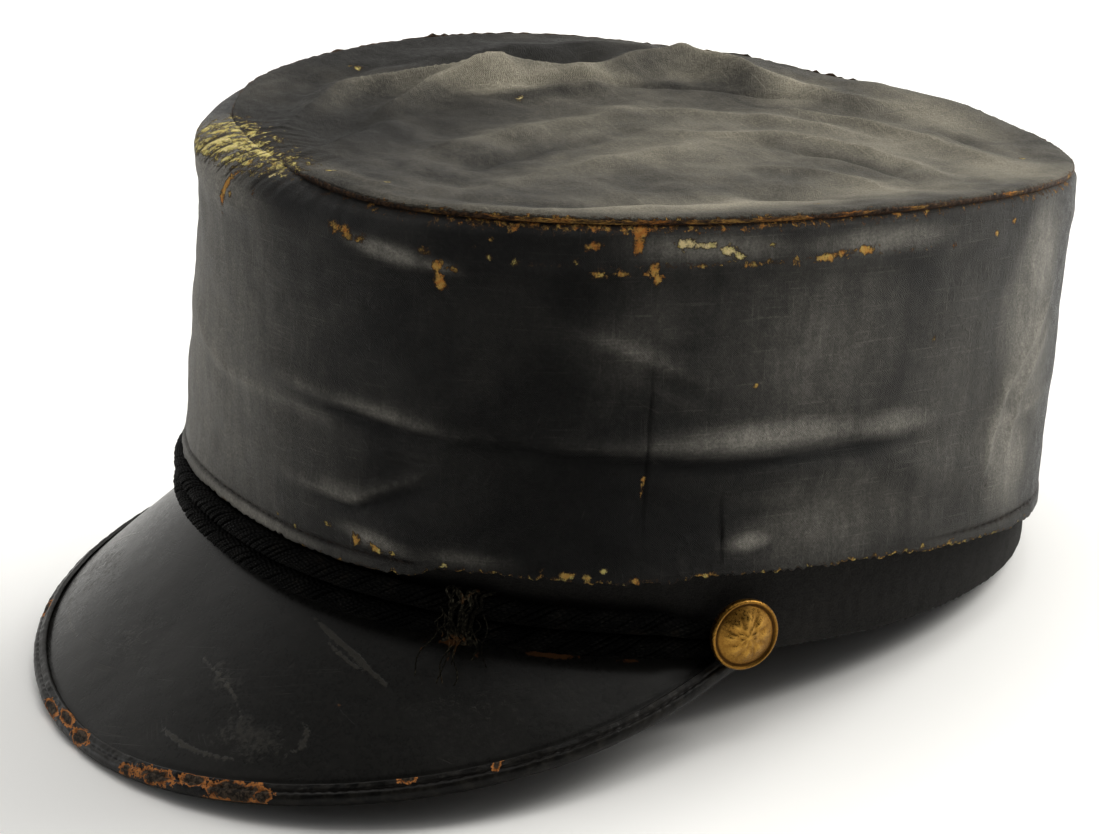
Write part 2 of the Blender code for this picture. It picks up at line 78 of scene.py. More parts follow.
KEEPER_WIDTH = 0.0050
BUTTON_TURN = 80.0
BUTTON_RADIUS = 0.0084
BUTTON_HEIGHT = 0.0070
BUTTON_EASE = 0.0009
BUTTON_THICKNESS = 0.0046
SHANK_RADIUS = 0.0016
PEAK_LENGTH = 0.0574
PEAK_TIP = 0.0025
PEAK_PAST_BUTTON = 1.0
PEAK_FULLNESS = 1.14
PEAK_FRONT_SLOPE = 47.0
PEAK_SIDE_SLOPE = 38.0
PEAK_BULGE = 0.0003
PEAK_ROOT = 0.0015
LEATHER = 0.0015
BINDING_WALL = 0.0010
BINDING_DEPTH = 0.0046
BINDING_SHARE = 0.8
BINDING_NOSE = 0.10
BINDING_NOSE_SIDE = 0.75
BINDING_GROOVE = 0.52
STITCH = 0.0026
NEARBY = 0.5

# The heights of the edges: a level, and waves once to four times round, as shares of CROWN_HEIGHT
EDGE_WAVES = {
    "foot": (-0.004, 0.002, 0.02, 0, -0.01),
    "hem": (0, 0.005, -0.019, 0, 0),
    "seam": (0, 0.045, -0.034, 0.008, 0),
}

# Where the seam dips, in the model and a little more in the photograph: a turn, a spread, and metres
SEAM_DIPS = {
    "far_side": (-118, 18, 0.0016),
    "behind": (-141, 9, 0.0017),
    "far_rise": (-164, 6, -0.0006),
    "front_corner": (32, 10, 0.0006),
}

# The model's folds of the wall: a turn and its spread, a rise and its spread, a slant as rise per degree,
# and a depth as a share of CROWN_HEIGHT
FOLD_FADE = 8.0
WALL_FOLDS = {
    "stiffener_edge": (60, 150, 0.88, 0.03, 0, 0.007),
    "front_step": (-8, 22, 0.46, 0.06, 0, 0.007),
    "front_diagonal": (22, 15, 0.42, 0.05, -0.004, 0.011),
    "corner_dent": (33, 9, 0.25, 0.06, 0.005, -0.014),
    "long_fold": (92, 30, 0.31, 0.055, -0.003, 0.01),
    "long_hollow": (86, 34, 0.19, 0.06, -0.002, -0.009),
    "back_hollow": (121, 9, 0.5, 0.22, 0, -0.008),
    "far_fold": (-75, 35, 0.38, 0.07, 0.002, 0.009),
    "far_dent": (-128, 16, 0.45, 0.16, 0, -0.009),
}

# The model's soft folds of the tip: across, along, length and width as shares of the crown's half sizes,
# a heading in degrees from +Y towards +X, and a height as a share of CROWN_HEIGHT
TIP_FOLDS = {
    "back_ridge": (-0.34, 0.8, 0.34, 0.09, 48, 0.036),
    "near_hollow": (0.66, 0.02, 0.5, 0.09, 0, -0.018),
    "swell": (-0.05, 0.12, 0.6, 0.4, 0, 0.03),
}

# Sharp folds of the wall: a height and a width in mm, how sharp it is from 0, a soft swell, to 1, a crease,
# and the points of the line that it runs along: a turn, a rise, and a share of the fold's height
WALL_LINES = {
    "front_fullness": (2, 5.5, 0, (
        (-62, 0.92, 0), (-44, 0.94, 0.8), (-24, 0.95, 1), (-6, 0.94, 0.7), (12, 0.92, 0),
    )),
    "front_ridge": (0.75, 2.2, 0.8, (
        (-16, 0.5, 0.2), (-9.8, 0.43, 0.9), (-1.2, 0.39, 1), (5.8, 0.394, 0.9), (20.5, 0.4, 0.8),
        (28, 0.385, 0),
    )),
    "second_ridge": (0.8, 2.2, 0.8, (
        (12, 0.48, 0), (18.2, 0.463, 0.8), (27.8, 0.45, 1), (36.8, 0.425, 0.9), (44.2, 0.4, 0.5),
        (50, 0.4, 0),
    )),
    "second_hollow": (-0.6, 2, 0.7, (
        (14, 0.44, 0), (20, 0.43, 0.8), (30, 0.412, 1), (40, 0.385, 0.8), (50, 0.375, 0.4),
    )),
    "dent_rim": (1, 1.8, 0.9, (
        (13, 0.2, 0), (19.8, 0.19, 0.8), (27, 0.175, 1), (31, 0.213, 0.9), (36, 0.263, 0.6), (40, 0.3, 0),
    )),
    "dent_foot": (-0.7, 1.8, 0.8, ((18, 0.165, 0), (27, 0.15, 1), (33, 0.2, 0.9), (40, 0.26, 0.2))),
    "long_ridge": (0.55, 2.6, 0.6, (
        (46, 0.405, 0), (55.8, 0.392, 0.7), (70.5, 0.394, 1), (86.8, 0.4, 1), (100, 0.392, 0.8),
        (114, 0.395, 0),
    )),
    "long_valley": (-0.95, 1.7, 0.8, (
        (42, 0.4, 0), (48.5, 0.385, 0.7), (55.8, 0.366, 0.9), (65.8, 0.347, 1), (75.8, 0.325, 1),
        (85.5, 0.336, 0.8), (95.5, 0.344, 0.7), (108, 0.35, 0),
    )),
    "low_valley": (-0.4, 2.4, 0.5, ((70, 0.17, 0), (80, 0.185, 1), (90, 0.2, 0))),
    "slope_one": (0.55, 2, 0.7, ((58, 0.69, 0), (61.5, 0.675, 0.8), (70.2, 0.6, 1), (76, 0.53, 0))),
    "slope_two": (0.45, 2, 0.7, ((53, 0.72, 0), (60.2, 0.694, 1), (67, 0.645, 0.6), (74, 0.6, 0))),
    "slope_three": (0.35, 2.4, 0.6, ((62, 0.6, 0), (70, 0.52, 1), (76, 0.47, 0))),
    "upright_crease": (-0.45, 0.5, 1, (
        (66.9, 0.7, 0), (66.8, 0.525, 0.7), (66.5, 0.388, 1), (66.4, 0.244, 1), (66.2, 0.09, 0),
    )),
    "second_upright": (-0.5, 0.5, 1, (
        (76.4, 0.27, 0), (76.6, 0.2, 0.8), (76.8, 0.12, 1), (76.8, 0.05, 0.2),
    )),
    "back_streak": (0.85, 1.6, 0.8, (
        (139, 0.72, 0.2), (132, 0.6, 0.8), (126.8, 0.5, 1), (123.2, 0.413, 1), (120.2, 0.3, 1),
        (118.8, 0.2, 0.3), (119, 0.14, 0),
    )),
    "back_cross": (0.75, 1.5, 0.8, (
        (137, 0.37, 0.2), (128.5, 0.344, 1), (123.5, 0.338, 0.8), (117.5, 0.315, 0),
    )),
    "back_second": (0.65, 1.5, 0.8, (
        (137, 0.6, 0.2), (130, 0.46, 1), (126, 0.34, 0.9), (124, 0.22, 0.4), (122.5, 0.15, 0),
    )),
    "back_nick": (-0.55, 0.8, 1, ((118, 0.19, 0), (119.5, 0.165, 1), (120.5, 0.14, 0))),
    "front_nick": (-0.45, 0.7, 1, ((-2.6, 0.43, 0), (-1, 0.395, 1), (-0.2, 0.37, 0))),
    "far_one": (0.7, 2.2, 0.7, ((-40, 0.46, 0), (-58, 0.42, 1), (-80, 0.4, 0.9), (-96, 0.46, 0))),
    "far_two": (-0.7, 2, 0.7, ((-60, 0.3, 0), (-82, 0.27, 1), (-104, 0.3, 0.7), (-120, 0.38, 0))),
    "far_three": (0.7, 1.8, 0.8, ((-92, 0.7, 0), (-104, 0.6, 1), (-116, 0.44, 1), (-121, 0.3, 0))),
    "far_upright": (-0.5, 0.6, 1, ((-150, 0.62, 0), (-151, 0.45, 1), (-150, 0.22, 0))),
    "rear_one": (0.6, 2.2, 0.7, ((146, 0.3, 0), (158, 0.38, 1), (172, 0.42, 0.8), (188, 0.38, 0))),
    "rear_two": (-0.55, 1.8, 0.7, ((150, 0.2, 0), (166, 0.22, 1), (182, 0.27, 0.8), (196, 0.25, 0))),
    "rear_three": (0.55, 1.8, 0.8, ((152, 0.72, 0), (160, 0.62, 1), (170, 0.55, 0.9), (178, 0.52, 0))),
}

# Sharp folds of the tip, in the same way, but through x and y in mm and a height in mm.
# The ridges are where the cloth stands up over what is creased beneath it.
TIP_RIDGES = {
    "long_ridge": (1, 6, 0.62, (
        (3, -101, 0), (-11, -88.5, 1.6), (-29.5, -71.5, 3), (-47.5, -52.5, 4), (-50.5, -38.5, 4.8),
        (-50, -26, 5.6), (-50, -14, 6.6), (-50, -8, 6.6),
    )),
    "near_ridge": (1, 4.2, 0.74, (
        (-18, -64, 0), (-27.5, -52.5, 2.2), (-33.5, -44.5, 3.6), (-46, -28, 5.2), (-50, -14, 6.2),
    )),
    "apex_back": (1, 6.5, 0.35, ((-50, -14, 6.2), (-51.5, -1.5, 6), (-48, 6, 4.8), (-47, 12, 4.2))),
    "second_ridge": (1, 6.5, 0.46, (
        (-46, 0, 3.2), (-45.5, 10.5, 4.2), (-50.5, 22, 5.4), (-55.5, 32.5, 5.8), (-60, 45, 5.8),
        (-60.5, 50, 5.6),
    )),
    "second_back": (1, 6.5, 0.46, (
        (-60, 47, 5.6), (-53, 57, 5.2), (-40, 62, 4.6), (-30, 69, 3.2), (-20.5, 79, 2), (-14.5, 92.5, 0.6),
    )),
    "far_shoulder": (1, 9, 0.2, ((-58, -40, 1), (-66, -10, 3.6), (-68, 16, 3.8), (-66, 42, 4.4))),
    "front_ridge": (1, 5, 0.5, (
        (10, -101, 0), (4, -86, 1.8), (-8, -70, 2.4), (-20, -52, 1.4), (-28, -40, 0),
    )),
}
TIP_LINES = {
    "foot_crease": (-1.25, 1.5, 0.9, (
        (-40, -34, 0), (-43.5, -22.5, 0.7), (-44.5, -10, 1), (-43, 2, 1), (-43, 14, 1), (-43, 26, 1),
        (-39.5, 38.5, 1), (-36, 50.5, 0.9), (-28, 62.5, 0.5), (-20, 72, 0),
    )),
    "near_swell": (1.53, 4.2, 0.24, (
        (24, -92, 0), (43, -85, 0.8), (57, -76, 1), (66.5, -58, 1), (70.5, -37, 0.9), (70, -13.5, 0.6),
        (72, 6, 0),
    )),
    "near_dip": (-1.19, 3.8, 0.3, (
        (20, -84, 0), (40, -76, 0.8), (54, -62, 1), (60, -38, 1), (58, -16, 0.4), (56, 0, 0),
    )),
    "front_dip": (-1.7, 6.2, 0.18, ((-20, -96, 0), (-34, -82, 1), (-52, -62, 1), (-62, -44, 0))),
    "front_ripple": (1.36, 3.2, 0.36, ((14, -98, 0), (19.5, -88, 1), (33.5, -82, 0.9), (44, -70, 0))),
    "front_hollow": (-1.53, 4, 0.3, ((2, -94, 0), (-4, -80, 1), (-18, -62, 0.9), (-28, -48, 0))),
    "middle_one": (1.53, 4.5, 0.36, (
        (8, -64, 0), (3, -55, 0.9), (-5.5, -32, 1), (-14, -6, 1), (-25.5, 17, 0.4), (-30, 30, 0),
    )),
    "middle_two": (1.36, 4.8, 0.3, (
        (46, -70, 0), (38, -60, 0.8), (26, -33, 1), (16.5, -6.5, 1), (10, 19, 0.4), (4, 34, 0),
    )),
    "middle_three": (-1.19, 4.2, 0.3, (
        (28, -72, 0), (16, -50, 1), (6, -24, 1), (-4, 2, 0.7), (-12, 20, 0),
    )),
    "back_one": (1.61, 3.5, 0.42, (
        (-4, 4, 0), (4, 20, 0.7), (6, 40, 1), (18.5, 52, 1), (42.5, 57.5, 0.8), (56, 58, 0),
    )),
    "back_two": (1.53, 3.2, 0.42, (
        (-20, 40, 0), (-13.5, 55.5, 0.9), (-6.5, 68.5, 1), (9.5, 76.5, 1), (31.5, 81, 0.6), (40, 82, 0),
    )),
    "back_three": (1.36, 3.8, 0.36, (
        (-20, 4, 0), (-19, 18.5, 0.8), (-16.5, 30, 1), (-8, 43.5, 1), (1, 58, 0.8), (12, 68, 0),
    )),
    "back_four": (-1.36, 3, 0.42, ((16, 30, 0), (22, 42, 1), (38, 48, 1), (54, 48, 0))),
    "back_five": (1.19, 3.2, 0.42, ((28, 8, 0), (36, 26, 1), (50, 36, 1), (64, 38, 0))),
    "back_six": (-1.02, 3, 0.36, ((-6, 82, 0), (8, 88, 1), (24, 90, 0.7), (38, 88, 0))),
    "near_one": (-0.85, 3.2, 0.36, ((50, -8, 0), (58, 10, 1), (68, 22, 0.8), (76, 28, 0))),
    "far_one": (-1.7, 3.8, 0.3, ((-40, -74, 0), (-58, -56, 1), (-66, -34, 1), (-64, -16, 0))),
    "far_two": (1.02, 2.8, 0.42, ((-26, -86, 0), (-46, -70, 1), (-60, -52, 0.6), (-68, -40, 0))),
    "far_three": (-1.02, 3, 0.36, ((-40, 70, 0), (-48, 78, 1), (-50, 88, 0))),
}

# Worn spots of the wall: a turn, a rise, half sizes in mm, a heading in degrees up from level, a strength,
# and a tone from 0, orange-brown cloth, through ochre and olive to 1, cream filler
WALL_SPOTS = {
    "front_streak": ((-1, 0.905, 1.15, 6, -24, 1.15, 0.2),),
    "chips": (
        (23.5, 0.925, 2, 1.4, 0, 0.95, 0.2), (25.4, 0.92, 1.4, 1.9, 30, 1.1, 0.2),
        (28, 0.912, 1.6, 1, 0, 0.85, 0.3), (39.2, 0.868, 1.3, 2, -24, 1.1, 0.2),
        (39.5, 0.828, 1.3, 2.6, 22, 1.15, 0.15), (41.3, 0.862, 1.6, 0.9, 0, 0.95, 0.25),
        (37, 0.905, 2.2, 0.9, -10, 0.75, 0.25), (58.8, 0.944, 2.4, 0.9, 0, 0.95, 0.15),
        (59.9, 0.868, 2, 1.1, -10, 1, 0.3), (62.4, 0.872, 2.6, 0.7, 0, 0.85, 0.3),
        (64.6, 0.985, 1.8, 1.8, 0, 1.15, 0.1), (64.6, 0.952, 1.2, 2.4, -14, 1.15, 0.1),
        (66.5, 0.885, 1.5, 1.7, 0, 1.15, 0.2), (67, 0.858, 1, 1.6, -20, 1, 0.2),
        (65.4, 0.872, 1.6, 0.8, 0, 0.8, 0.25),
    ),
    "cream_filler": (
        (70.4, 0.95, 2, 1.4, 0, 1.2, 0.95), (73, 0.944, 2.6, 0.9, -6, 1.05, 0.85),
        (75.8, 0.93, 2.2, 1.1, -16, 1.1, 0.85), (77, 0.912, 1.4, 1, 0, 0.9, 0.7),
    ),
    "stiffener_chips": (
        (72.5, 0.89, 3, 0.6, 0, 0.8, 0.3), (78.5, 0.892, 2.6, 0.8, 0, 0.85, 0.3),
        (81, 0.894, 1.8, 0.6, 0, 0.7, 0.3), (84.2, 0.89, 1.2, 1.3, 0, 0.95, 0.3),
        (88.4, 0.896, 3, 1, 4, 1, 0.25), (90.8, 0.903, 1.8, 0.8, 0, 0.9, 0.25),
        (94, 0.906, 2.8, 1.1, 2, 1.1, 0.25),
    ),
    "specks": (
        (49.2, 0.894, 0.9, 0.9, 0, 0.8, 0.5), (80.2, 0.556, 0.9, 1, 0, 0.78, 0.3),
        (106.8, 0.631, 0.9, 0.7, 0, 0.78, 0.4), (121, 0.93, 1, 0.9, 0, 0.85, 0.3),
        (117, 0.905, 0.9, 0.8, 0, 0.8, 0.3),
    ),
    "nicks": ((66.2, 0.294, 0.7, 1.8, 6, 1, 0.2), (66, 0.255, 0.5, 1, 0, 0.85, 0.25)),
    "hem_chips": (
        (17, 0.046, 1.1, 0.7, -20, 0.85, 0.4), (23.5, 0.088, 1.8, 0.7, -14, 0.9, 0.4),
        (28.6, 0.07, 1.6, 1.2, -20, 1.15, 0.35), (31.4, 0.06, 2, 0.9, -24, 1.1, 0.35),
        (34.4, 0.053, 2, 0.7, -14, 0.95, 0.45), (41.6, 0.045, 0.9, 0.6, 0, 1, 0.6),
        (48.6, 0.034, 1.9, 0.6, -4, 0.95, 0.45), (57, 0.04, 2, 0.9, 8, 1.15, 0.4),
        (59.6, 0.034, 1.4, 0.7, 0, 0.95, 0.35), (65.6, 0.02, 1.4, 1.2, 24, 1.2, 0.3),
        (74.5, 0.026, 3.4, 0.8, 0, 1, 0.4),
    ),
    "far_side": (
        (-36, 0.9, 2.4, 1.4, 0, 1, 0.3), (-52, 0.87, 3.4, 1.1, 4, 0.95, 0.3),
        (-74, 0.92, 2, 2.2, 20, 1, 0.25), (-98, 0.88, 4.2, 1.2, 0, 1, 0.6),
        (-131, 0.9, 2.8, 1.4, 0, 1, 0.3), (-163, 0.86, 2.2, 1.6, 10, 0.95, 0.3),
        (158, 0.9, 3, 1.2, 0, 0.95, 0.3),
    ),
}

# How worn the edges are at turns in degrees, from 0 to 1: the torn hem, the seam, and the stiffener's
# upper line
EDGE_TURNS = (-180, -120, -80, -30, -10, 12, 26, 38, 46, 62, 72, 86, 100, 112, 124, 150, 180)
HEM_WORN = (
    0.35, 0.45, 0.3, 0.25, 0.22, 0.22, 0.34, 0.44, 0.46, 0.48, 0.44, 0.46, 0.6, 0.62, 0.46, 0.34, 0.35,
)
SEAM_WORN = (
    0.26, 0.3, 0.24, 0.16, 0.12, 0.18, 0.3, 0.42, 0.58, 0.66, 0.52, 0.54, 0.5, 0.32, 0.5, 0.34, 0.26,
)
STIFFENER_WORN = (0.22, 0.3, 0.28, 0.2, 0, 0, 0.08, 0.12, 0.12, 0.34, 0.4, 0.42, 0.34, 0.1, 0.1, 0.2, 0.22)
STIFFENER_RISE = 0.893

# Paler places of the wall, rubbed and with painted light, and darker ones, dulled and with painted shade,
# charted as its worn spots are, with no tone
WALL_RUBS_AND_PAINTED_LIGHT = {
    "under_shoulder": ((31.5, 0.89, 11, 2.2, -8, 1.25), (39, 0.868, 5, 1.6, -8, 0.9)),
    "under_seam": ((74, 0.938, 19, 3.6, -2, 0.92),),
    "under_seam_right": ((97, 0.93, 20, 3.6, 0, 0.92),),
    "hem_band": ((31, 0.082, 9, 2, -9, 1.05), (44, 0.07, 10, 2.2, 0, 0.6)),
    "hem_patch": ((80.5, 0.11, 6.5, 2.4, 2, 1.1),),
    "flap": ((2, 0.014, 40, 2.4, 0, 1.2),),
    "back_patch": ((128, 0.55, 15, 26, 10, 1.02),),
    "back_top": ((131, 0.8, 12, 16, 0, 1.15),),
    "back_low": ((125, 0.24, 14, 16, 0, 1),),
    "back_wide": ((113, 0.45, 30, 50, 0, 0.47),),
    "right_wide": ((89, 0.62, 28, 32, 0, 0.55),),
    "right_low": ((94, 0.16, 30, 14, 0, 0.62),),
    "slopes": ((66, 0.68, 12, 14, 0, 0.36),),
    "ridge": ((84, 0.412, 24, 4.2, 2, 0.92), (102, 0.405, 16, 4.4, 0, 0.72)),
    "dent_edge": ((25, 0.2, 9, 3, -10, 0.55),),
    "front_line": ((2, 0.41, 18, 2, 0, 0.6), (30, 0.448, 14, 2.6, -10, 0.5)),
    "front_wide": ((-13, 0.45, 55, 60, 0, 0.88),),
    "far_patch": ((-95, 0.45, 30, 20, 10, 0.6),),
    "rear_patch": ((172, 0.5, 18, 22, 0, 0.9),),
}
# The darker places: dulled, and painted shade where the wall lies in shade
WALL_DULLS_AND_PAINTED_SHADE = {
    "far_corner": ((-38, 0.975, 26, 6, 0, 1.3),),
    "front_top": ((12, 0.965, 22, 3, 0, 0.5),),
    "low_middle": ((62, 0.18, 22, 9, 0, 0.5),),
}

# What the hem has lost, in mm up from its first edge, at turns in degrees, and how deep its turned-up edge is
HEM_LOSS_TURNS = (-180, -118, -114, -104, -100, 37, 40, 46, 54, 64, 71, 74, 84, 105, 125, 180)
HEM_LOSS = (0, 0, 2.4, 2.6, 0, 0, 2.6, 3, 2.2, 1, 0.7, 2, 1.5, 0.8, 0, 0)
FLAP = 0.0032

# The worn patch at the front, where the cloth is gathered
PATCH_TURN = -7.0
PATCH_SPREAD = 20.0
PLEAT_TURN = 3.4
PLEAT_SPREAD = 24.0
PLEAT_DEPTH = 0.00036

# Chips of the peak's binding: a turn, a share of its depth back from the edge, a half width in mm,
# a half depth as such a share, and a strength
BINDING_SPOTS = {
    "left": ((-9, 0.34, 5.4, 0.36, 1.05), (-4.6, 0.66, 4.4, 0.34, 1), (0.6, 0.46, 5, 0.46, 1.15)),
    "front": (
        (12, 0.3, 2.4, 0.4, 0.95), (16.5, 0.4, 6.4, 0.46, 1.1), (21.4, 0.66, 4.4, 0.4, 1.05),
        (26.4, 0.42, 7, 0.56, 1.2), (29.8, 0.25, 2.4, 0.4, 1),
    ),
    "side": ((43, 0.95, 2, 0.34, 1.1), (51, 0.8, 1.2, 0.4, 1)),
    "far_side": ((-30, 0.4, 3.4, 0.5, 1), (-51, 0.45, 2.6, 0.5, 0.95)),
}

# Marks on the peak, in the way of the wall's folds, but through turns and mm out from the band
PEAK_MARKS = {
    "streak": (0.85, 0.9, 0.3, (
        (22, 3, 0), (24, 4.4, 0.7), (31, 8.5, 1), (36.5, 13.8, 0.8), (38.5, 16, 0),
    )),
    "second_streak": (0.65, 0.8, 0.3, ((26, 7, 0), (29, 9.6, 1), (33.5, 12.6, 0.8), (35, 14, 0))),
    "pits": (0.46, 0.9, 0.2, (
        (4, 22, 0), (7.5, 23.2, 0.6), (13.5, 24.6, 1), (18.5, 27.1, 0.9), (21.5, 30.9, 1), (23, 36, 0),
    )),
    "low_arc": (0.58, 1.1, 0.2, (
        (10.5, 41.6, 0), (13.5, 42.7, 1), (18, 43.5, 1), (22, 42.7, 0.8), (25, 41.2, 0.5), (30, 40, 0),
    )),
    "right_arc": (0.46, 1.3, 0.2, (
        (22, 27, 0), (27.5, 26, 0.6), (31, 29.4, 1), (31, 35, 1), (29, 38.3, 0.8), (26, 40, 0),
    )),
    "long_scratch": (0.5, 0.25, 0.8, ((-4, 16, 0), (2, 22, 1), (6, 30, 0.8), (8, 36, 0))),
    "near_scratch": (0.5, 0.25, 0.8, ((44, 8, 0), (48, 14, 1), (50, 20, 0))),
    "far_streak": (0.8, 0.6, 0.5, ((-26, 12, 0), (-32, 20, 1), (-36, 28, 0.8), (-37, 34, 0))),
    "far_arc": (0.6, 0.9, 0.4, ((-12, 38, 0), (-20, 41, 1), (-30, 39, 0.6), (-38, 34, 0))),
}

# Rust and rubbed places of the peak: a turn, mm out, and the rest as for the wall
PEAK_RUST = {
    "under_slide": ((43, 1, 2.4, 1.2, 0, 0.9),),
    "past_slide": ((56, 0.8, 7, 1, 0, 0.85),),
    "further": ((66, 0.8, 4, 0.8, 0, 0.6),),
    "spot": ((33, 22, 0.5, 0.7, 0, 0.7),),
    "thread_stain": (
        (40, 3.4, 0.8, 3, 6, 0.55), (43.5, 4.2, 0.6, 3.4, -4, 0.55), (47, 3, 0.8, 2.4, 4, 0.5),
    ),
    "far_side": ((-46, 1, 4, 1.2, 0, 0.8),),
}
PEAK_SCUFFS = {
    "low_patch": ((24, 36, 9, 6, 0, 0.42),),
    "middle_patch": ((16, 26, 8, 4, 20, 0.3),),
    "front_patch": ((-6, 30, 16, 10, 20, 0.25),),
    "left_patch": ((-28, 30, 18, 12, 0, 0.35),),
    "far_patch": ((-46, 20, 9, 5, 10, 0.4),),
    "near_patch": ((46, 16, 10, 6, 0, 0.2),),
}

# Worn spots of the tip, and its paler places, rubbed and with painted light, and darker ones, dulled and
# with painted shade: x and y in mm, and the rest as for the wall
TIP_SPOTS = {
    "nicks": ((-37, -10, 0.9, 1.5, 20, 0.95, 0.8),),
    "front": (
        (20, -88, 1.6, 1.2, 20, 0.95, 0.6), (14, -94, 1.8, 1, 0, 0.9, 0.6), (30, -80, 1, 1.4, 0, 0.85, 0.6),
    ),
    "near": ((74, 6, 1, 1.6, 0, 0.75, 0.5),),
    "back": ((30, 92, 2, 1.2, -20, 0.85, 0.5),),
    "far_side": ((-66, -40, 1.2, 2, 10, 0.85, 0.5),),
}
# The paler places: rubbed, and painted light on the crests and on the faces that the light falls on
TIP_RUBS_AND_PAINTED_LIGHT = {
    "right": ((18, 62, 36, 36, 0, 0.58),),
    "far_right": ((44, 78, 22, 22, 0, 0.7),),
    "back": ((-10, 92, 26, 14, 0, 0.62),),
    "near_edge": ((66, -12, 15, 42, 0, 0.84),),
    "near_right": ((60, 34, 16, 26, 0, 0.66),),
    "middle": ((8, 8, 34, 44, 20, 0.48),),
    "first_crest": ((-45, -10, 6, 18, 0, 1),),
    "between": ((-43, 16, 6, 16, 0, 0.75),),
    "second_crest": ((-50, 44, 9, 18, 14, 0.56),),
    "second_fall": ((-34, 66, 16, 9, -40, 0.66),),
    "long_top": ((-36, -60, 4, 18, 42, 0.55),),
    "front_edge": ((16, -88, 14, 5, 20, 0.35),),
}
# The darker places: dulled, and painted shade on the far strip, the front and the ridges' foot
TIP_DULLS_AND_PAINTED_SHADE = {
    "far_strip": ((-74, -24, 15, 56, -12, 1.35),),
    "far_back": ((-72, 40, 8, 30, 10, 0.4),),
    "front": ((-22, -74, 26, 26, 30, 0.95),),
    "front_low": ((4, -84, 18, 14, 0, 0.45),),
    "under_long": ((-24, -36, 12, 24, 30, 0.55),),
    "foot": ((-40, 8, 3, 40, 4, 0.5),),
}

# How finely the surfaces are divided
SEEN_TURNS = (-30.0, 135.0)
SEEN_STEP = 0.25
HIDDEN_STEP = 0.65
HEM_ROWS = 14
WALL_ROWS = 48
SHOULDER_ROWS = 28
LINING_ROWS = 8
TIP_RINGS = 104
TIP_UNDER_RINGS = 14
TIP_TURN_STEP = 0.6
BAND_ROWS = 20
PEAK_COLUMNS = 590
PEAK_ROWS = 110
PEAK_UNDER_ROWS = 10
BINDING_COLUMNS = 840
CORD_COLUMNS = 380
WAVES = 28

# How far the tip's edge stands out over the seam and drops, in mm, and how worn it is there
TIP_EDGE = ((0.2, 0.1), (0.36, 0.32), (0.42, 0.62), (0.34, 0.95), (0.15, 1.2))
TIP_EDGE_WORN = (0.35, 0.75, 1.0, 0.9, 0.4)

# The camera, in the cap's own axes: where it aims, and where it stands as a turn, a rise and a distance
CAMERA_AIM = (-0.0010, -0.0166, 0.0261)
CAMERA_TURN = 60.745
CAMERA_RISE = 17.749
CAMERA_ROLL = 3.451
CAMERA_DISTANCE = 1.2035
CAMERA_LENS = 164.2

# The lights: a turn and a rise round the cap, a distance, a width and height in metres, watts and a colour
LIGHTS = {
    "light_back": (178, 33, 1.8, (1.3, 0.9), 34, (1, 0.98, 0.93)),
    "light_above": (225, 72, 1.7, (1.6, 1.2), 12, (1, 0.985, 0.95)),
    "light_left": (-40, 5, 1.5, (0.9, 0.5), 4.4, (1, 1, 1)),
}
BRIGHT_WAY = (-0.62, 0.74, 0.25)
WORLD_DIM = 0.05
WORLD_BRIGHT = 1.25

STACK = 4.0 * CORD_HALF_HEIGHT + GAP
HEM_HEIGHT = STACK + HEM_CLEARANCE
HEM_HALF_WIDTH = BAND_HALF_WIDTH + HEM_SIDE_EASE + CLOTH
HEM_HALF_LENGTH = BAND_HALF_LENGTH + HEM_END_EASE + CLOTH
CROWN_HALF_WIDTH = HEM_HALF_WIDTH - CROWN_SIDE_TAPER
CROWN_HALF_LENGTH = HEM_HALF_LENGTH + CROWN_END_SPRING
BUTTON_STAND = GAP + 2.0 * CORD_HALF_DEPTH * CORD_END_SHARE + BUTTON_EASE
PEAK_TURN = BUTTON_TURN + PEAK_PAST_BUTTON
WALL_HEIGHT = CROWN_HEIGHT - HEM_HEIGHT
ROUND = math.pi * (CROWN_HALF_WIDTH + CROWN_HALF_LENGTH)
TURN_LENGTH = ROUND / 360.0

# What a turn and a rise, x and y in mm, or a turn and mm out measure on the wall, the tip and the peak
WALL_SCALE = (TURN_LENGTH, WALL_HEIGHT)
TIP_SCALE = (MM, MM)
PEAK_SCALE = (1.6 * MM, MM)


def bell(away, spread, power=2):
    """1 at no distance, falling off to both sides, flat-topped where the power is higher."""
    return np.exp(-(away / spread) ** power)


def ramp(value, low, high):
    """0 up to one value, 1 from another on, and straight between them."""
    return np.clip((value - low) / (high - low), 0.0, 1.0)


def ripple(places):
    """A wave from 0 to 1, once for each whole number."""
    return 0.5 + 0.5 * np.cos(WHOLE_TURN * places)


def oval(turns, half_width, half_length, squareness, set_back):
    """A superellipse in plan, fuller in front: x and y for each turn."""
    sine = np.sin(np.radians(turns))
    cosine = np.cos(np.radians(turns))
    scale = (np.abs(sine) ** squareness + np.abs(cosine) ** squareness) ** (-1.0 / squareness)
    x = half_width * sine * scale * (1.0 + FRONT_FULLNESS * cosine)
    return np.stack([x, set_back - half_length * cosine * scale], axis=-1)


def band_oval(turns):
    return oval(turns, BAND_HALF_WIDTH, BAND_HALF_LENGTH, BAND_SQUARENESS, BAND_SET_BACK)


def hem_oval(turns):
    return oval(turns, HEM_HALF_WIDTH, HEM_HALF_LENGTH, BAND_SQUARENESS, BAND_SET_BACK)


def crown_oval(turns):
    return oval(turns, CROWN_HALF_WIDTH, CROWN_HALF_LENGTH, CROWN_SQUARENESS, CROWN_SET_BACK)


def outward(turns, outline):
    """The level direction square to an outline, from its difference over a small turn."""
    along = outline(turns + NEARBY) - outline(turns - NEARBY)
    normal = np.stack([along[..., 1], -along[..., 0]], axis=-1)
    return normal / np.linalg.norm(normal, axis=-1, keepdims=True)


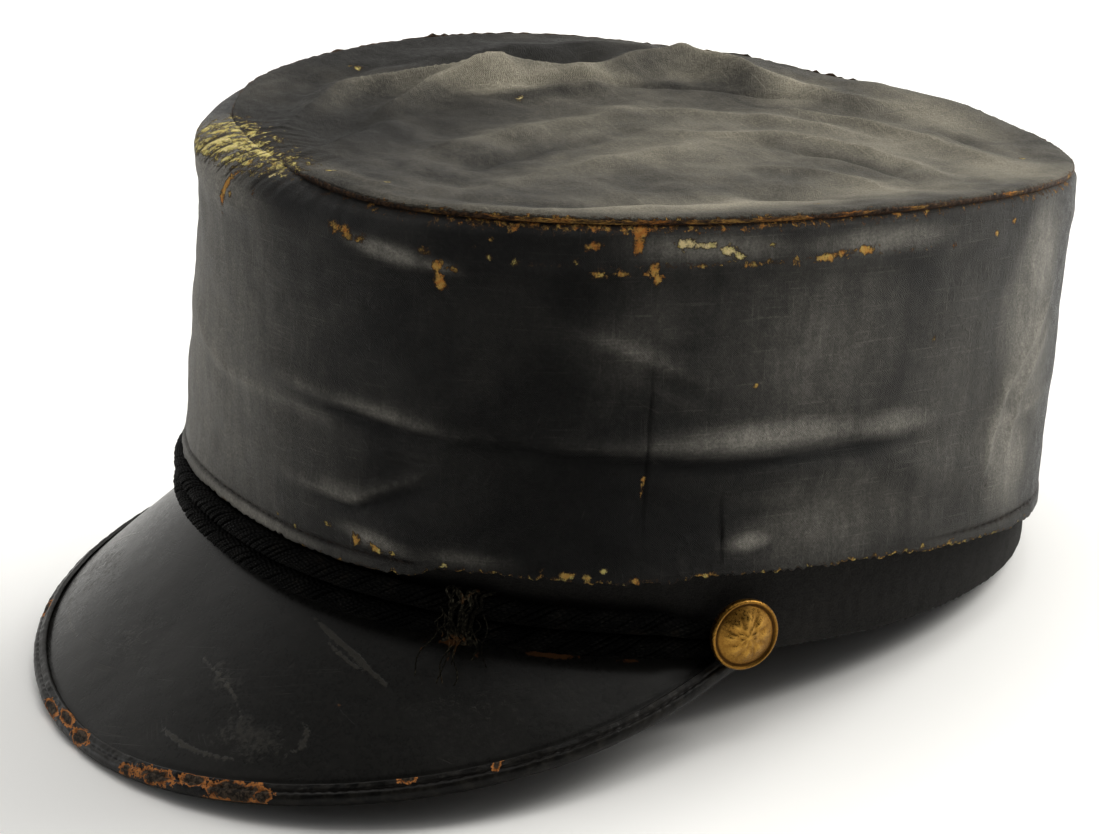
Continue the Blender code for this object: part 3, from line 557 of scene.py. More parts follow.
def pushed(plan, turns, outline, distance):
    """Places in plan pushed outwards from an outline."""
    return plan + outward(turns, outline) * np.asarray(distance)[..., None]


def raised(plan, height):
    """Places in plan with their heights."""
    return np.concatenate([plan, height[..., None]], axis=-1)


def turn_between(turns, middle=0.0):
    """Degrees from a middle turn, the short way round."""
    return (turns - middle + 180.0) % 360.0 - 180.0


def edge_height(edge, base, turns, reach=1.0):
    """An edge's height: its base, a level, and cosines of one to four times the turn, each drawn in
    towards the middle by the power of the reach that it has turns."""
    angle = np.radians(turns)
    waves = (share * reach ** times * np.cos(times * angle) for times, share in enumerate(EDGE_WAVES[edge]))
    return base + CROWN_HEIGHT * sum(waves)


def foot_height(turns):
    return edge_height("foot", 0.0, turns)


def hem_height(turns):
    return edge_height("hem", HEM_HEIGHT, turns)


def seam_dip(turns):
    """The seam's dips, each a bell over the turn."""
    dips = SEAM_DIPS.values()
    return sum(depth * bell(turn_between(turns, middle), spread) for middle, spread, depth in dips)


def seam_height(turns):
    return edge_height("seam", CROWN_HEIGHT, turns) - seam_dip(turns)


def front_gather(turns):
    """How much further in the seam lies in front, where the worn cloth is gathered."""
    return FRONT_GATHER * bell(turns - FRONT_GATHER_TURN, FRONT_GATHER_SPREAD, 4)


def front_patch(turns):
    """1 where the front of the crown is worn bare, a flat-topped bell over the turn."""
    return bell(turns - PATCH_TURN, PATCH_SPREAD, 4)


def shoulder(turns):
    """How far the seam lies inside the wall's outline, more in front."""
    return SHOULDER + FRONT_SHOULDER * bell(turns, FRONT_SHOULDER_TURN) + front_gather(turns)


def seam_oval(turns):
    return pushed(crown_oval(turns), turns, crown_oval, -shoulder(turns))


def unevenness(places, *sizes):
    """Smooth unevenness: for each height, length in mm and seed, a sum of plane waves near that length,
    in random directions."""
    total = 0.0
    for height, length, seed in sizes:
        draw = np.random.default_rng(seed)
        ways = draw.normal(size=(WAVES, places.shape[-1]))
        ways /= np.linalg.norm(ways, axis=1, keepdims=True)
        ways *= WHOLE_TURN / (length * MM * draw.uniform(0.6, 1.5, (WAVES, 1)))
        phases = draw.uniform(0.0, WHOLE_TURN, WAVES)
        total = total + height * np.cos(places @ ways.T + phases).sum(axis=-1) / math.sqrt(WAVES)
    return total


def blotches(points):
    """Where wear is more or less, in blotches of two sizes."""
    return unevenness(points, (0.7, 6.5, 33), (0.5, 2.6, 34))


def line_fold(fold, along, up, scale, span):
    """One fold along a line: its height where the nearest point of the line is, times its section there,
    a bell where it is soft and two slopes that meet where it is sharp.

    The line runs through the fold's points, rounded off by averaging over a tenth of its length.
    """
    height, width, sharp, points = fold
    width = width * MM
    points = np.array(points, dtype=float)
    last = len(points) - 1
    steps = np.linspace(0.0, last, 12 * last + 1)
    path = np.stack([np.interp(steps, np.arange(last + 1), column) for column in points.T], axis=-1)
    ends = np.pad(path, ((6, 6), (0, 0)), mode="edge")
    kernel = np.hanning(15)[1:-1] / np.hanning(15)[1:-1].sum()
    path = np.stack([np.convolve(column, kernel, mode="same")[6:-6] for column in ends.T], axis=-1)[::2]
    line = path[:, :2] * np.array(scale)
    middle = line[len(line) // 2].copy()
    right = (along - middle[0] + span / 2.0) % span - span / 2.0
    above = up - middle[1]
    low = (line - middle).min(axis=0) - 5.0 * width
    high = (line - middle).max(axis=0) + 5.0 * width
    near = (right > low[0]) & (right < high[0]) & (above > low[1]) & (above < high[1])
    start = line[:-1] - middle
    run = np.diff(line, axis=0)
    across = right[near][:, None] - start[:, 0]
    over = above[near][:, None] - start[:, 1]
    share = (across * run[:, 0] + over * run[:, 1]) / np.maximum((run ** 2).sum(axis=1), 1e-12)
    share = np.clip(share, 0.0, 1.0)
    away = (across - share * run[:, 0]) ** 2 + (over - share * run[:, 1]) ** 2
    nearest = away.argmin(axis=1)
    share = np.take_along_axis(share, nearest[:, None], axis=1)[:, 0]
    strength = path[nearest, 2] * (1.0 - share) + path[nearest + 1, 2] * share
    away = np.sqrt(away.min(axis=1)) / width
    result = np.zeros(right.shape)
    result[near] = height * strength * ((1.0 - sharp) * np.exp(-away ** 2) + sharp * np.exp(-1.6 * away))
    return result


def line_folds(table, along, up, scale, span=ROUND, power=1.0):
    """All the folds of a table, in the units of their heights: their sum, or a blend that is near the highest
    of them, the root of the sum of their powers."""
    along, up = np.broadcast_arrays(along, up)
    total = sum(line_fold(fold, along, up, scale, span) ** power for fold in table.values())
    return total ** (1.0 / power)


def model_wall_relief(turns, rise):
    """The model's folds of the wall, bells over turn and rise that fade out towards both edges."""
    relief = 0.0
    for turn, turn_spread, middle, rise_spread, slant, depth in WALL_FOLDS.values():
        away = turn_between(turns, turn)
        shape = (away / turn_spread) ** 2 + ((rise - middle - slant * away) / rise_spread) ** 2
        relief = relief + CROWN_HEIGHT * depth * np.exp(-shape)
    return relief * np.minimum(1.0, FOLD_FADE * rise * (1.0 - rise))


def pleats(turns, off):
    """The gathers at the front, from -1 to 1: narrow waves over the turn, of mixed widths, that wander
    a little with the distance off the seam in metres and die away to both sides."""
    bent = turns + 1.5 * np.sin(np.radians(turns * 11.0))
    bent = bent + 260.0 * off * np.sin(np.radians(turns * 8.0 + 40.0))
    narrow = np.cos(WHOLE_TURN * bent / (0.58 * PLEAT_TURN) + 1.0 + 250.0 * off)
    waves = 0.55 * np.cos(WHOLE_TURN * bent / PLEAT_TURN) + 0.45 * narrow
    return waves * bell(turns - 2.0, PLEAT_SPREAD, 4)


def painted_pleat_shade(turns, gathers):
    """Painted shade in the bottoms of the gathers, in the worn patch: how dark they are painted."""
    return 1.7 * front_patch(turns) * np.clip(-gathers - 0.30, 0.0, 0.55)


def hem_loss(turns):
    """What the hem has lost: a broken line through the table, with a ragged edge where it is torn."""
    loss = np.interp(turns, HEM_LOSS_TURNS, HEM_LOSS)
    places = np.stack([np.sin(np.radians(turns)), np.cos(np.radians(turns))], axis=-1) * ROUND / WHOLE_TURN
    ragged = unevenness(places, (0.30, 2.4, 5), (0.25, 9.0, 6))
    return MM * np.maximum(0.0, loss + ragged * (0.75 + 0.25 * np.clip(loss, 0.0, 1.0)) + 0.18)


def flap_intact(turns):
    """1 where the hem's turned-up edge is whole, 0 where it is torn away."""
    return ramp(np.interp(turns, HEM_LOSS_TURNS, HEM_LOSS), 0.8, 0.0)


def stitch_line(up):
    """1 on the line that holds the hem's turned-up edge, a bell over the height."""
    return bell(up - FLAP, 0.38 * MM)


def wall_detail(turns, rise):
    """What the fine surface adds outwards: creases, gathers, the hem's stitch line and an uneven face."""
    along = turns * TURN_LENGTH
    up = rise * WALL_HEIGHT
    across = np.sin(np.radians(turns)) * CROWN_HALF_WIDTH
    places = np.stack([across, np.cos(np.radians(turns)) * CROWN_HALF_LENGTH, up], axis=-1)
    relief = line_folds(WALL_LINES, along, up, WALL_SCALE)
    relief += unevenness(places * np.array([1.0, 1.0, 1.6]), (0.22, 34, 11), (0.07, 12, 12))
    below = 1.0 / (1.0 + np.exp((up - FLAP + 0.5 * MM) / (0.18 * MM)))
    sewn = stitch_line(up) * (0.45 + 0.25 * ripple(along / STITCH))
    relief += flap_intact(turns) * (0.26 * below - sewn)
    relief += unevenness(places, (0.25, 16, 14)) * ramp(up, FLAP, 0.0)
    return MM * relief + PLEAT_DEPTH * pleats(turns, WALL_HEIGHT * (1.0 - rise)) * bell(1.0 - rise, 0.055, 4)


def wall_plan(turns, rise):
    """The wall in plan, between the hem's oval and the crown's, with the model's folds."""
    share = rise[..., None]
    plan = hem_oval(turns) * (1.0 - share) + crown_oval(turns) * share
    return pushed(plan, turns, crown_oval, model_wall_relief(turns, rise))


def wall_face(turns, rise, fine=True):
    """The wall's outer face: a loft from the hem's oval to the crown's, rounded over at its shoulder."""
    low = hem_height(turns)
    high = seam_height(turns) - CLOTH - GAP + 1.1 * MM * front_patch(turns)
    height = low + (high - low) * rise
    drop = SHOULDER_DROP * shoulder(turns) - 2.4 * front_gather(turns)
    into = ramp(height, high - drop, high)
    bend = math.radians(SHOULDER_ANGLE)
    arc = 1.0 - np.sqrt(1.0 - (math.sin(bend) * into) ** 2)
    push = -shoulder(turns) * arc / (1.0 - math.cos(bend))
    if fine:
        push = push + wall_detail(turns, rise)
    return raised(pushed(wall_plan(turns, rise), turns, crown_oval, push), height)


def band_top(turns):
    """The band's upper edge, tucked up inside the crown wall."""
    rise = np.full_like(turns, BAND_TUCK / WALL_HEIGHT)
    low = hem_height(turns)
    height = low + (seam_height(turns) - CLOTH - GAP - low) * rise
    return raised(pushed(wall_plan(turns, rise), turns, hem_oval, -CLOTH - 2.0 * GAP), height)


def band_face(turns, height):
    """The band's outer face in plan at some height: a straight line from its foot to its tucked edge."""
    top = band_top(turns)
    foot = foot_height(turns)
    share = ((height - foot) / (top[..., 2] - foot))[..., None]
    return band_oval(turns) * (1.0 - share) + top[..., :2] * share


def tip_relief(x, y):
    """The model's soft folds of the tip, bells laid along their headings."""
    relief = 0.0
    for across, along, length, width, heading, height in TIP_FOLDS.values():
        right = x - across * CROWN_HALF_WIDTH
        back = y - CROWN_SET_BACK - along * CROWN_HALF_LENGTH
        sine = math.sin(math.radians(heading))
        cosine = math.cos(math.radians(heading))
        down = (right * sine + back * cosine) / (length * CROWN_HALF_LENGTH)
        aside = (right * cosine - back * sine) / (width * CROWN_HALF_LENGTH)
        relief = relief + CROWN_HEIGHT * height * np.exp(-down ** 2 - aside ** 2)
    return relief


def tip_ridges(x, y, table=TIP_RIDGES):
    """The ridges of the tip in mm: the highest of the sharp folds that stand up."""
    return line_folds(table, x, y, TIP_SCALE, 1.0, power=3.0)


def tip_detail(x, y, turns, from_seam):
    """The fine surface of the tip: creases, gathers near the seam in front, and an uneven face."""
    relief = line_folds(TIP_LINES, x, y, TIP_SCALE, 1.0)
    relief += unevenness(np.stack([x, y], axis=-1), (0.34, 26, 21), (0.13, 9, 22))
    gathers = pleats(turns, CROWN_HALF_LENGTH * from_seam)
    return MM * relief + 1.3 * PLEAT_DEPTH * gathers * bell(from_seam - 0.05, 0.08)


def tip_face(turns, reach, fine=True):
    """The tip's upper face, from 1 at the seam to 0 in the middle: the edge's waves drawn in, sagging,
    with folds."""
    middle = np.array([0.0, CROWN_SET_BACK])
    plan = middle + (seam_oval(turns) - middle) * reach[..., None]
    height = edge_height("seam", CROWN_HEIGHT, turns, reach)
    height = height - TIP_SAG * (1.0 - reach ** 2) - seam_dip(turns) * reach ** 4
    x, y = plan[..., 0], plan[..., 1]
    relief = tip_relief(x, y) + MM * tip_ridges(x, y)
    if fine:
        relief = relief + tip_detail(x, y, turns, 1.0 - reach)
        from_seam = (1.0 - reach) * CROWN_HALF_LENGTH / MM
        height = height - 0.55 * MM * bell(from_seam, 1.1)
        height = height - 0.65 * MM * front_patch(turns) * bell(from_seam, 3.2)
    return raised(plan, height + relief * (1.0 - reach ** 10))


def peak_length(turns):
    """How far the peak reaches from the band, down its slope: a rounded-off parabola over the turn."""
    full = np.clip(1.0 - (turns / PEAK_TURN) ** 2, 0.0, 1.0) ** PEAK_FULLNESS
    return PEAK_TIP + (PEAK_LENGTH - PEAK_TIP) * full


def peak_face(turns, out, lift):
    """The peak's face at distances out from the band, down its slope, raised square to it by a lift."""
    turned = (turns / PEAK_TURN) ** 2
    slope = np.radians(PEAK_FRONT_SLOPE + (PEAK_SIDE_SLOPE - PEAK_FRONT_SLOPE) * turned)
    share = out / peak_length(turns)
    bulge = PEAK_BULGE * 4.0 * share * (1.0 - share) + lift
    level = PEAK_ROOT + out * np.cos(slope) + bulge * np.sin(slope)
    height = foot_height(turns) - GAP - out * np.sin(slope) + bulge * np.cos(slope)
    return raised(pushed(band_oval(turns), turns, band_oval, level), height)


def binding_face(turns, back, lift):
    """The binding's face: a share of its depth back from the peak's edge, and a lift from the leather's
    middle."""
    length = peak_length(turns)
    depth = np.minimum(BINDING_DEPTH, BINDING_SHARE * length)
    return peak_face(turns, length - back * depth, lift - LEATHER / 2.0)


def cord_share(turns):
    """The cords thin out under the buttons: a smooth step over the turn."""
    width = math.degrees(BUTTON_RADIUS / BAND_HALF_WIDTH)
    into = ramp(np.abs(turns), BUTTON_TURN - CORD_THIN_FROM * width, BUTTON_TURN - CORD_THIN_TO * width)
    return 1.0 - (1.0 - CORD_END_SHARE) * into * into * (3.0 - 2.0 * into)


def cord_line(turns, row):
    """The middle line of one cord against the band: row 0 is the lower one, row 1 the upper one."""
    share = cord_share(turns)
    height = foot_height(turns) + CORD_LIFT + CORD_HALF_HEIGHT * share * (1.0 + 2.0 * row) + GAP * row
    face = band_face(turns, height + CORD_HALF_HEIGHT * share)
    return raised(pushed(face, turns, band_oval, GAP + CORD_HALF_DEPTH * share), height)


def resting_place():
    """The turn and shift that lean the cap back on to its peak's edge and the back of its band."""
    front_turn = np.array([0.0])
    back_turn = np.array([180.0])
    side = BINDING_NOSE_SIDE * (LEATHER / 2.0 + GAP + BINDING_WALL)
    front = binding_face(front_turn, BINDING_NOSE, -side)[0]
    nose = binding_face(front_turn, BINDING_NOSE, side)[0]
    back = raised(band_oval(back_turn), foot_height(back_turn))[0]
    lean = math.atan2(back[2] - front[2], back[1] - front[1])
    rear = seam_oval(back_turn)[0][1] + GAP + 2.0 * WELT_RADIUS
    rear_reach = rear * math.cos(lean) + seam_height(back_turn)[0] * math.sin(lean)
    front_reach = nose[1] * math.cos(lean) + nose[2] * math.sin(lean)
    depth = -back[1] * math.sin(lean) + back[2] * math.cos(lean)
    shift = Matrix.Translation((0.0, -(rear_reach + front_reach) / 2.0, -depth - FLATTENED))
    return shift @ Matrix.Rotation(-lean, 4, "X")


REST = resting_place()
REST_TURN = np.array(REST)[:3, :3]
REST_SHIFT = np.array(REST)[:3, 3]


def at_rest(points):
    """Points in the cap's own axes, leaned back as it lies, and pressed flat where they meet the floor."""
    placed = points @ REST_TURN.T + REST_SHIFT
    placed[..., 2] = np.maximum(placed[..., 2], 0.0)
    return placed


def spots(table, along, up, scale):
    """How marked each point is, by the strongest of the table's spots, each a bell over an ellipse, and
    its tone."""
    field = np.zeros(np.broadcast(along, up).shape)
    tone = np.zeros_like(field)
    for turn, rise, wide, tall, heading, strength, *shade in sum(map(list, table.values()), []):
        sine = math.sin(math.radians(heading))
        cosine = math.cos(math.radians(heading))
        right = (along - turn * scale[0] + ROUND / 2.0) % ROUND - ROUND / 2.0
        above = up - rise * scale[1]
        down = (right * cosine + above * sine) / (wide * MM)
        aside = (above * cosine - right * sine) / (tall * MM)
        field, tone = laid_over(field, tone, strength * np.exp(-down ** 2 - aside ** 2), sum(shade))
    return field, tone


def laid_over(field, tone, more, shade):
    """Wear and its tone, with more wear of a shade laid over it where that is the stronger."""
    return np.maximum(field, more), np.where(more > field, shade, tone)


# Paler less darker places: rubs and painted light, less dulling and painted shade.
def rubs_and_light_less_dulls_and_shade(rubs_and_light, dulls_and_shade, along, up, scale):
    return spots(rubs_and_light, along, up, scale)[0] - spots(dulls_and_shade, along, up, scale)[0]


def signed_volume(points, faces):
    """Six times the volume inside a mesh of quads and triangles, by summing over fans of triangles."""
    corners = points[faces]
    total = (corners[:, 0] * np.cross(corners[:, 1], corners[:, 2])).sum()
    if faces.shape[1] == 4:
        total += (corners[:, 0] * np.cross(corners[:, 2], corners[:, 3])).sum()
    return total


def add_mesh(name, points, faces, uvs, material, values):
    """Makes a piece from points, groups of faces and the corners' UVs in metres, with values for points."""
    if sum(signed_volume(points, group) for group in faces) < 0.0:
        faces = [group[:, ::-1] for group in faces]
        uvs = [group[:, ::-1] for group in uvs]
    mesh = bpy.data.meshes.new(name)
    mesh.from_pydata(points, [], [face for group in faces for face in group.tolist()])
    layer = mesh.uv_layers.new(name="surface")
    layer.data.foreach_set("uv", np.concatenate([group.reshape(-1) for group in uvs]))
    for label, numbers in values.items():
        attribute = mesh.attributes.new(label, "FLOAT", "POINT")
        attribute.data.foreach_set("value", np.asarray(numbers, dtype=np.float32).reshape(-1))
    mesh.shade_smooth()
    mesh.materials.append(material)
    piece = bpy.data.objects.new(name, mesh)
    bpy.context.scene.collection.objects.link(piece)
    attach(piece, "root")
    return piece


def grid_faces(rows, columns, around, over):
    """Quads of a grid, joined up around its columns and over its rows where asked, and their grid places."""
    row, column = np.meshgrid(
        np.arange(rows if over else rows - 1), np.arange(columns if around else columns - 1), indexing="ij",
    )
    corners = [(row, column), (row, column + 1), (row + 1, column + 1), (row + 1, column)]
    faces = np.stack([r % rows * columns + c % columns for r, c in corners], axis=-1).reshape(-1, 4)
    places = np.stack([np.stack(pair, axis=-1) for pair in corners], axis=-2).reshape(-1, 4, 2)
    return faces, places


def distances(points):
    """Distances along a row of points, from 0 at its first."""
    return np.append(0.0, np.cumsum(np.linalg.norm(np.diff(points, axis=0), axis=-1)))


def add_grid(name, points, along, closing, material, values, ring=True):
    """A piece from a grid of points whose rows close round: a ring if its columns do too, or else capped.

    along is the UV of the columns. The UV of the rows is their distance down one column, then a closing gap.
    """
    rows, columns = points.shape[:2]
    faces, places = grid_faces(rows, columns, ring, True)
    up = distances(points[:, 0 if ring else columns // 2])
    up = np.append(up, up[-1] + closing)
    groups = [faces]
    uvs = [np.stack([along[places[..., 1]], up[places[..., 0]]], axis=-1)]
    if not ring:
        first = np.arange(rows)[None] * columns
        groups += [first[:, ::-1], first + columns - 1]
        uvs += [np.zeros((1, rows, 2))] * 2
    values = {label: np.broadcast_to(numbers, (rows, columns)) for label, numbers in values.items()}
    return add_mesh(name, at_rest(points.reshape(-1, 3)), groups, uvs, material, values)


def add_disc(name, points, poles, material, values):
    """A piece from rings of points that close at both ends in poles, with plan UVs."""
    rows, columns = points.shape[:2]
    flat = at_rest(np.concatenate([points.reshape(-1, 3), poles]))
    first = np.arange(columns)
    after = (first + 1) % columns
    last = (rows - 1) * columns
    start = np.stack([np.full(columns, rows * columns), after, first], axis=-1)
    end = np.stack([np.full(columns, rows * columns + 1), last + first, last + after], axis=-1)
    groups = [grid_faces(rows, columns, True, False)[0], start, end]
    return add_mesh(name, flat, groups, [flat[group][..., :2] for group in groups], material, values)


def cap_turns():
    """Turns once round the cap, closer together on the side that the photograph shows, the same turns the
    short way round, and the distance of each and of the closing one along the wall."""
    start, end = SEEN_TURNS
    seen = np.arange(start, end, SEEN_STEP)
    turns = np.concatenate([seen, np.arange(end, start + 360.0, HIDDEN_STEP)])
    return turns, turn_between(turns), np.append(turns, turns[0] + 360.0) * TURN_LENGTH


def random_chips(count, seed, rises):
    """Chips at random places round the wall between two rises, small, and of mixed tones."""
    draw = np.random.default_rng(seed)
    limits = ((-180.0, 180.0), rises, (0.4, 1.2), (0.4, 0.8), (-25.0, 25.0), (0.65, 0.95), (0.1, 0.6))
    return [[draw.uniform(*limit) for limit in limits] for _ in range(count)]


def add_crown_wall(material):
    """The crown wall: one closed shell, up its outer face, over its upper edge and down its inner face."""
    _, near, along = cap_turns()
    hem = 0.10
    rises = [
        np.linspace(0.0, hem, HEM_ROWS, endpoint=False), np.linspace(hem, 0.80, WALL_ROWS, endpoint=False),
        np.linspace(0.80, 1.0, SHOULDER_ROWS),
    ]
    rises = np.concatenate(rises)[:, None]
    inner_rises = np.linspace(1.0, 0.0, LINING_ROWS)[:, None]
    lost = hem_loss(near) / WALL_HEIGHT
    rise = rises + lost * ramp(rises, hem, 0.0)
    inner_rise = inner_rises + (lost + 0.004) * ramp(inner_rises, hem, 0.0)
    outer = wall_face(np.broadcast_to(near, rise.shape), rise)
    inner = wall_face(np.broadcast_to(near, inner_rise.shape), inner_rise, fine=False)
    thin = CLOTH * (0.55 + 0.45 * ramp(inner_rises, 0.0, 0.06))
    inner[..., :2] = pushed(inner[..., :2], near, crown_oval, -thin)
    edge = 0.75 * outer[:1] + 0.25 * inner[-1:]
    edge[..., 2] -= 0.15 * MM
    points = np.concatenate([edge, outer, inner])

    rise = np.concatenate([rise[:1], rise, inner_rise])
    turn = np.broadcast_to(near, rise.shape)
    side = turn * TURN_LENGTH
    up = rise * WALL_HEIGHT
    patch = front_patch(turn)
    gathers = pleats(turn, WALL_HEIGHT * (1.0 - rise))
    mottle = blotches(points)
    small = random_chips(26, 31, (0.84, 0.99))
    low = random_chips(16, 32, (0.01, 0.06))
    hem_edge = np.interp(turn, EDGE_TURNS, HEM_WORN) * bell(up - hem_loss(turn), 0.8 * MM)
    stiffener = np.interp(turn, EDGE_TURNS, STIFFENER_WORN) * bell(rise - STIFFENER_RISE, 0.008)
    bottom = 0.912 + 0.0018 * (turn + 20.0)
    gathered = patch * np.clip((rise - bottom) / 0.03, 0.0, 1.0) * (0.74 + 0.10 * gathers + 0.21 * mottle)
    joint = np.interp(turn, EDGE_TURNS, SEAM_WORN) * bell(1.0 - rise, 0.026) * (1.0 - 0.6 * patch)
    bare, tone = spots({**WALL_SPOTS, "small": small, "low": low}, side, up, WALL_SCALE)
    bare, tone = laid_over(bare, tone, np.maximum(hem_edge, stiffener), 0.38)
    bare, tone = laid_over(bare, tone, gathered, 0.62 + 0.07 * mottle)
    bare, tone = laid_over(bare, tone, joint, 0.2)
    # Painted shade in the bottoms of the gathers near the seam.
    pleat_shade = painted_pleat_shade(turn, gathers) * (rise > 0.935)
    values = {
        "bare": bare,
        "tone": tone,
        # Paler and darker places, with painted light and painted shade among the rubs and dulls.
        "scuff": rubs_and_light_less_dulls_and_shade(WALL_RUBS_AND_PAINTED_LIGHT, WALL_DULLS_AND_PAINTED_SHADE, side, up, WALL_SCALE),
        # Fold heights: crests painted paler, as rubs and painted highlights, and creases darker, as painted
        # shade.
        "crest": line_folds(WALL_LINES, side, up, WALL_SCALE),
        # The hem's stitch line, and the painted shade in the bottoms of the gathers.
        "groove": np.maximum(flap_intact(turn) * stitch_line(up), pleat_shade),
        "inside": np.concatenate([[0.6], np.zeros(len(outer)), np.ones(len(inner))])[:, None],
    }
    piece = add_grid("oilcloth_wall", points, along, 2.0 * MM, material, values)
    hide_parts("crown_wall")


def add_crown_top(material):
    """The tip: rings from the middle out to the seam, over its edge, and back to the middle underneath."""
    near = turn_between(np.arange(0.0, 360.0, TIP_TURN_STEP))
    reaches = np.append(np.linspace(0.012, 1.0, TIP_RINGS), np.ones(len(TIP_EDGE)))[:, None]
    reach = np.broadcast_to(reaches, (len(reaches), len(near)))
    turn = np.broadcast_to(near, reach.shape)
    upper = tip_face(turn, reach)
    for line, (out, down) in zip(upper[TIP_RINGS:], TIP_EDGE):
        line[..., :2] = pushed(line[..., :2], near, seam_oval, out * MM)
        line[..., 2] -= down * MM
    under_reach = np.repeat(np.linspace(1.0, 0.02, TIP_UNDER_RINGS)[:, None], len(near), axis=1)
    under = tip_face(np.broadcast_to(near, under_reach.shape), under_reach, fine=False)
    under[..., 2] -= CLOTH
    poles = np.stack([upper[0].mean(axis=0), under[-1].mean(axis=0)])

    x, y = upper[..., 0], upper[..., 1]
    from_seam = 1.0 - reach
    gathers = pleats(turn, CROWN_HALF_LENGTH * from_seam)
    gathered = front_patch(turn) * bell(from_seam, 0.075) * (0.54 + 0.10 * gathers + 0.19 * blotches(upper))
    past = np.append(np.zeros(TIP_RINGS), TIP_EDGE_WORN)[:, None]
    edge = np.interp(turn, EDGE_TURNS, SEAM_WORN) * np.maximum(0.85 * past, 0.5 * bell(from_seam, 0.006))
    bare, tone = spots(TIP_SPOTS, x, y, TIP_SCALE)
    bare, tone = laid_over(bare, tone, gathered, 0.62)
    bare, tone = laid_over(bare, tone, edge, 0.25)
    # Crest values: ridges painted paler, as rubs and a painted highlight from narrow copies; creases painted
    # shade.
    narrow = {name: (fold[0], 0.30 * fold[1], 0.5, fold[3]) for name, fold in TIP_RIDGES.items()}
    crest = 0.28 * line_folds(TIP_LINES, x, y, TIP_SCALE, 1.0) + tip_ridges(x, y) / 14.0
    values = {
        "bare": bare,
        "tone": tone,
        # Paler and darker places, with painted light and painted shade among the rubs and dulls.
        "scuff": rubs_and_light_less_dulls_and_shade(TIP_RUBS_AND_PAINTED_LIGHT, TIP_DULLS_AND_PAINTED_SHADE, x, y, TIP_SCALE),
        "crest": crest + tip_ridges(x, y, narrow) / 11.0,
        # Painted shade in the bottoms of the gathers near the seam.
        "groove": painted_pleat_shade(turn, gathers) * ramp(reach, 0.90, 0.95),
        "inside": np.zeros_like(x),
    }
    for label, numbers in values.items():
        below = float(label == "inside")
        hidden = np.full(under_reach.size, below)
        values[label] = np.concatenate([numbers.reshape(-1), hidden, [numbers[0].mean(), below]])
    points = np.concatenate([upper, under])
    piece = add_disc("oilcloth_tip", points, poles, material, values)
    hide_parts("crown_top")


def add_seam(material):
    """The sewn edges of wall and tip, in the joint between them: a thin ragged strip set on edge.

    Its section is carried round the seam. It lies below the tip's edge, and frays above it in places behind.
    """
    turns, near, along = cap_turns()
    base = pushed(seam_oval(near), near, seam_oval, SEAM_OUT)
    level = seam_height(near)
    places = raised(base, level)
    behind = 0.5 - 0.5 * np.cos(np.radians(near - CAMERA_TURN))
    ragged = unevenness(places, (0.5, 3.0, 41), (0.5, 1.2, 42))
    tufts = np.clip(unevenness(places, (1.0, 14.0, 47)) - 0.5, 0.0, 1.0)
    top = -1.05 + 0.70 * behind + ragged * (0.10 + 0.12 * behind + 0.4 * tufts) + 0.55 * tufts * behind
    top = (top - 0.9 * front_patch(near)) * MM
    section = np.array([
        (-0.30, 0.00), (0.15, 0.00), (0.42, 0.10), (0.62, 0.24), (0.92, 0.42), (1.00, 0.62), (0.92, 0.84),
        (0.60, 0.96), (0.30, 0.92), (0.00, 0.98), (-0.35, 1.00), (-0.75, 0.94), (-0.95, 0.78), (-1.00, 0.50),
        (-0.90, 0.20),
    ])
    side, rise = section[:, :1], section[:, 1:]
    wavy = unevenness(places, (0.10, 15.0, 44), (0.06, 1.6, 45))
    wavy = wavy + 0.08 * np.cos(WHOLE_TURN * along[:-1] / STITCH)
    plan = pushed(base, near, seam_oval, side * SEAM_HALF_THICKNESS + MM * wavy * rise)
    points = raised(plan, level - SEAM_BELOW + rise * (SEAM_BELOW + top))
    values = {"height": rise, "worn": np.interp(near, EDGE_TURNS, SEAM_WORN), "patch": front_patch(near)}
    piece = add_grid("seam_edge", points, along, 0.8 * MM, material, values)
    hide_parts("top_welt")


def add_band(material):
    """The band: up its outer face, over its tucked edge, down its inner face and round its foot."""
    _, near, along = cap_turns()
    shares = np.linspace(0.0, 1.0, BAND_ROWS) ** 1.3
    foot = foot_height(near)
    top = band_top(near)[..., 2]
    frayed = MM * unevenness(raised(band_oval(near), foot), (0.10, 2.0, 51))
    lines = []
    for share, inset in [(share, 0.0) for share in shares] + [(share, 1.0) for share in shares[::-5]]:
        height = foot * (1.0 - share) + top * share
        plan = band_face(near, height)
        at_foot = max(0.0, 1.0 - share / 0.05)
        soft = 0.5 * MM * at_foot ** 2
        fuzz = MM * unevenness(raised(plan, height), (0.06, 4.0, 52))
        push = (fuzz - soft) * (1.0 - inset) - (BAND_WALL - soft) * inset
        lines.append(raised(pushed(plan, near, band_oval, push), height + frayed * at_foot))
    piece = add_grid("wool_band", np.stack(lines), along, 2.0 * MM, material, {})
    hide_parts("band")


def peak_detail(turns, out):
    """The peak's uneven face, in metres of lift."""
    places = np.stack([turns * 1.5 * MM, out], axis=-1)
    edge = bell(peak_length(turns) - out - BINDING_DEPTH - 0.4 * MM, 0.6 * MM)
    return MM * (unevenness(places, (0.05, 26.0, 61), (0.012, 7.0, 62)) - 0.12 * edge)


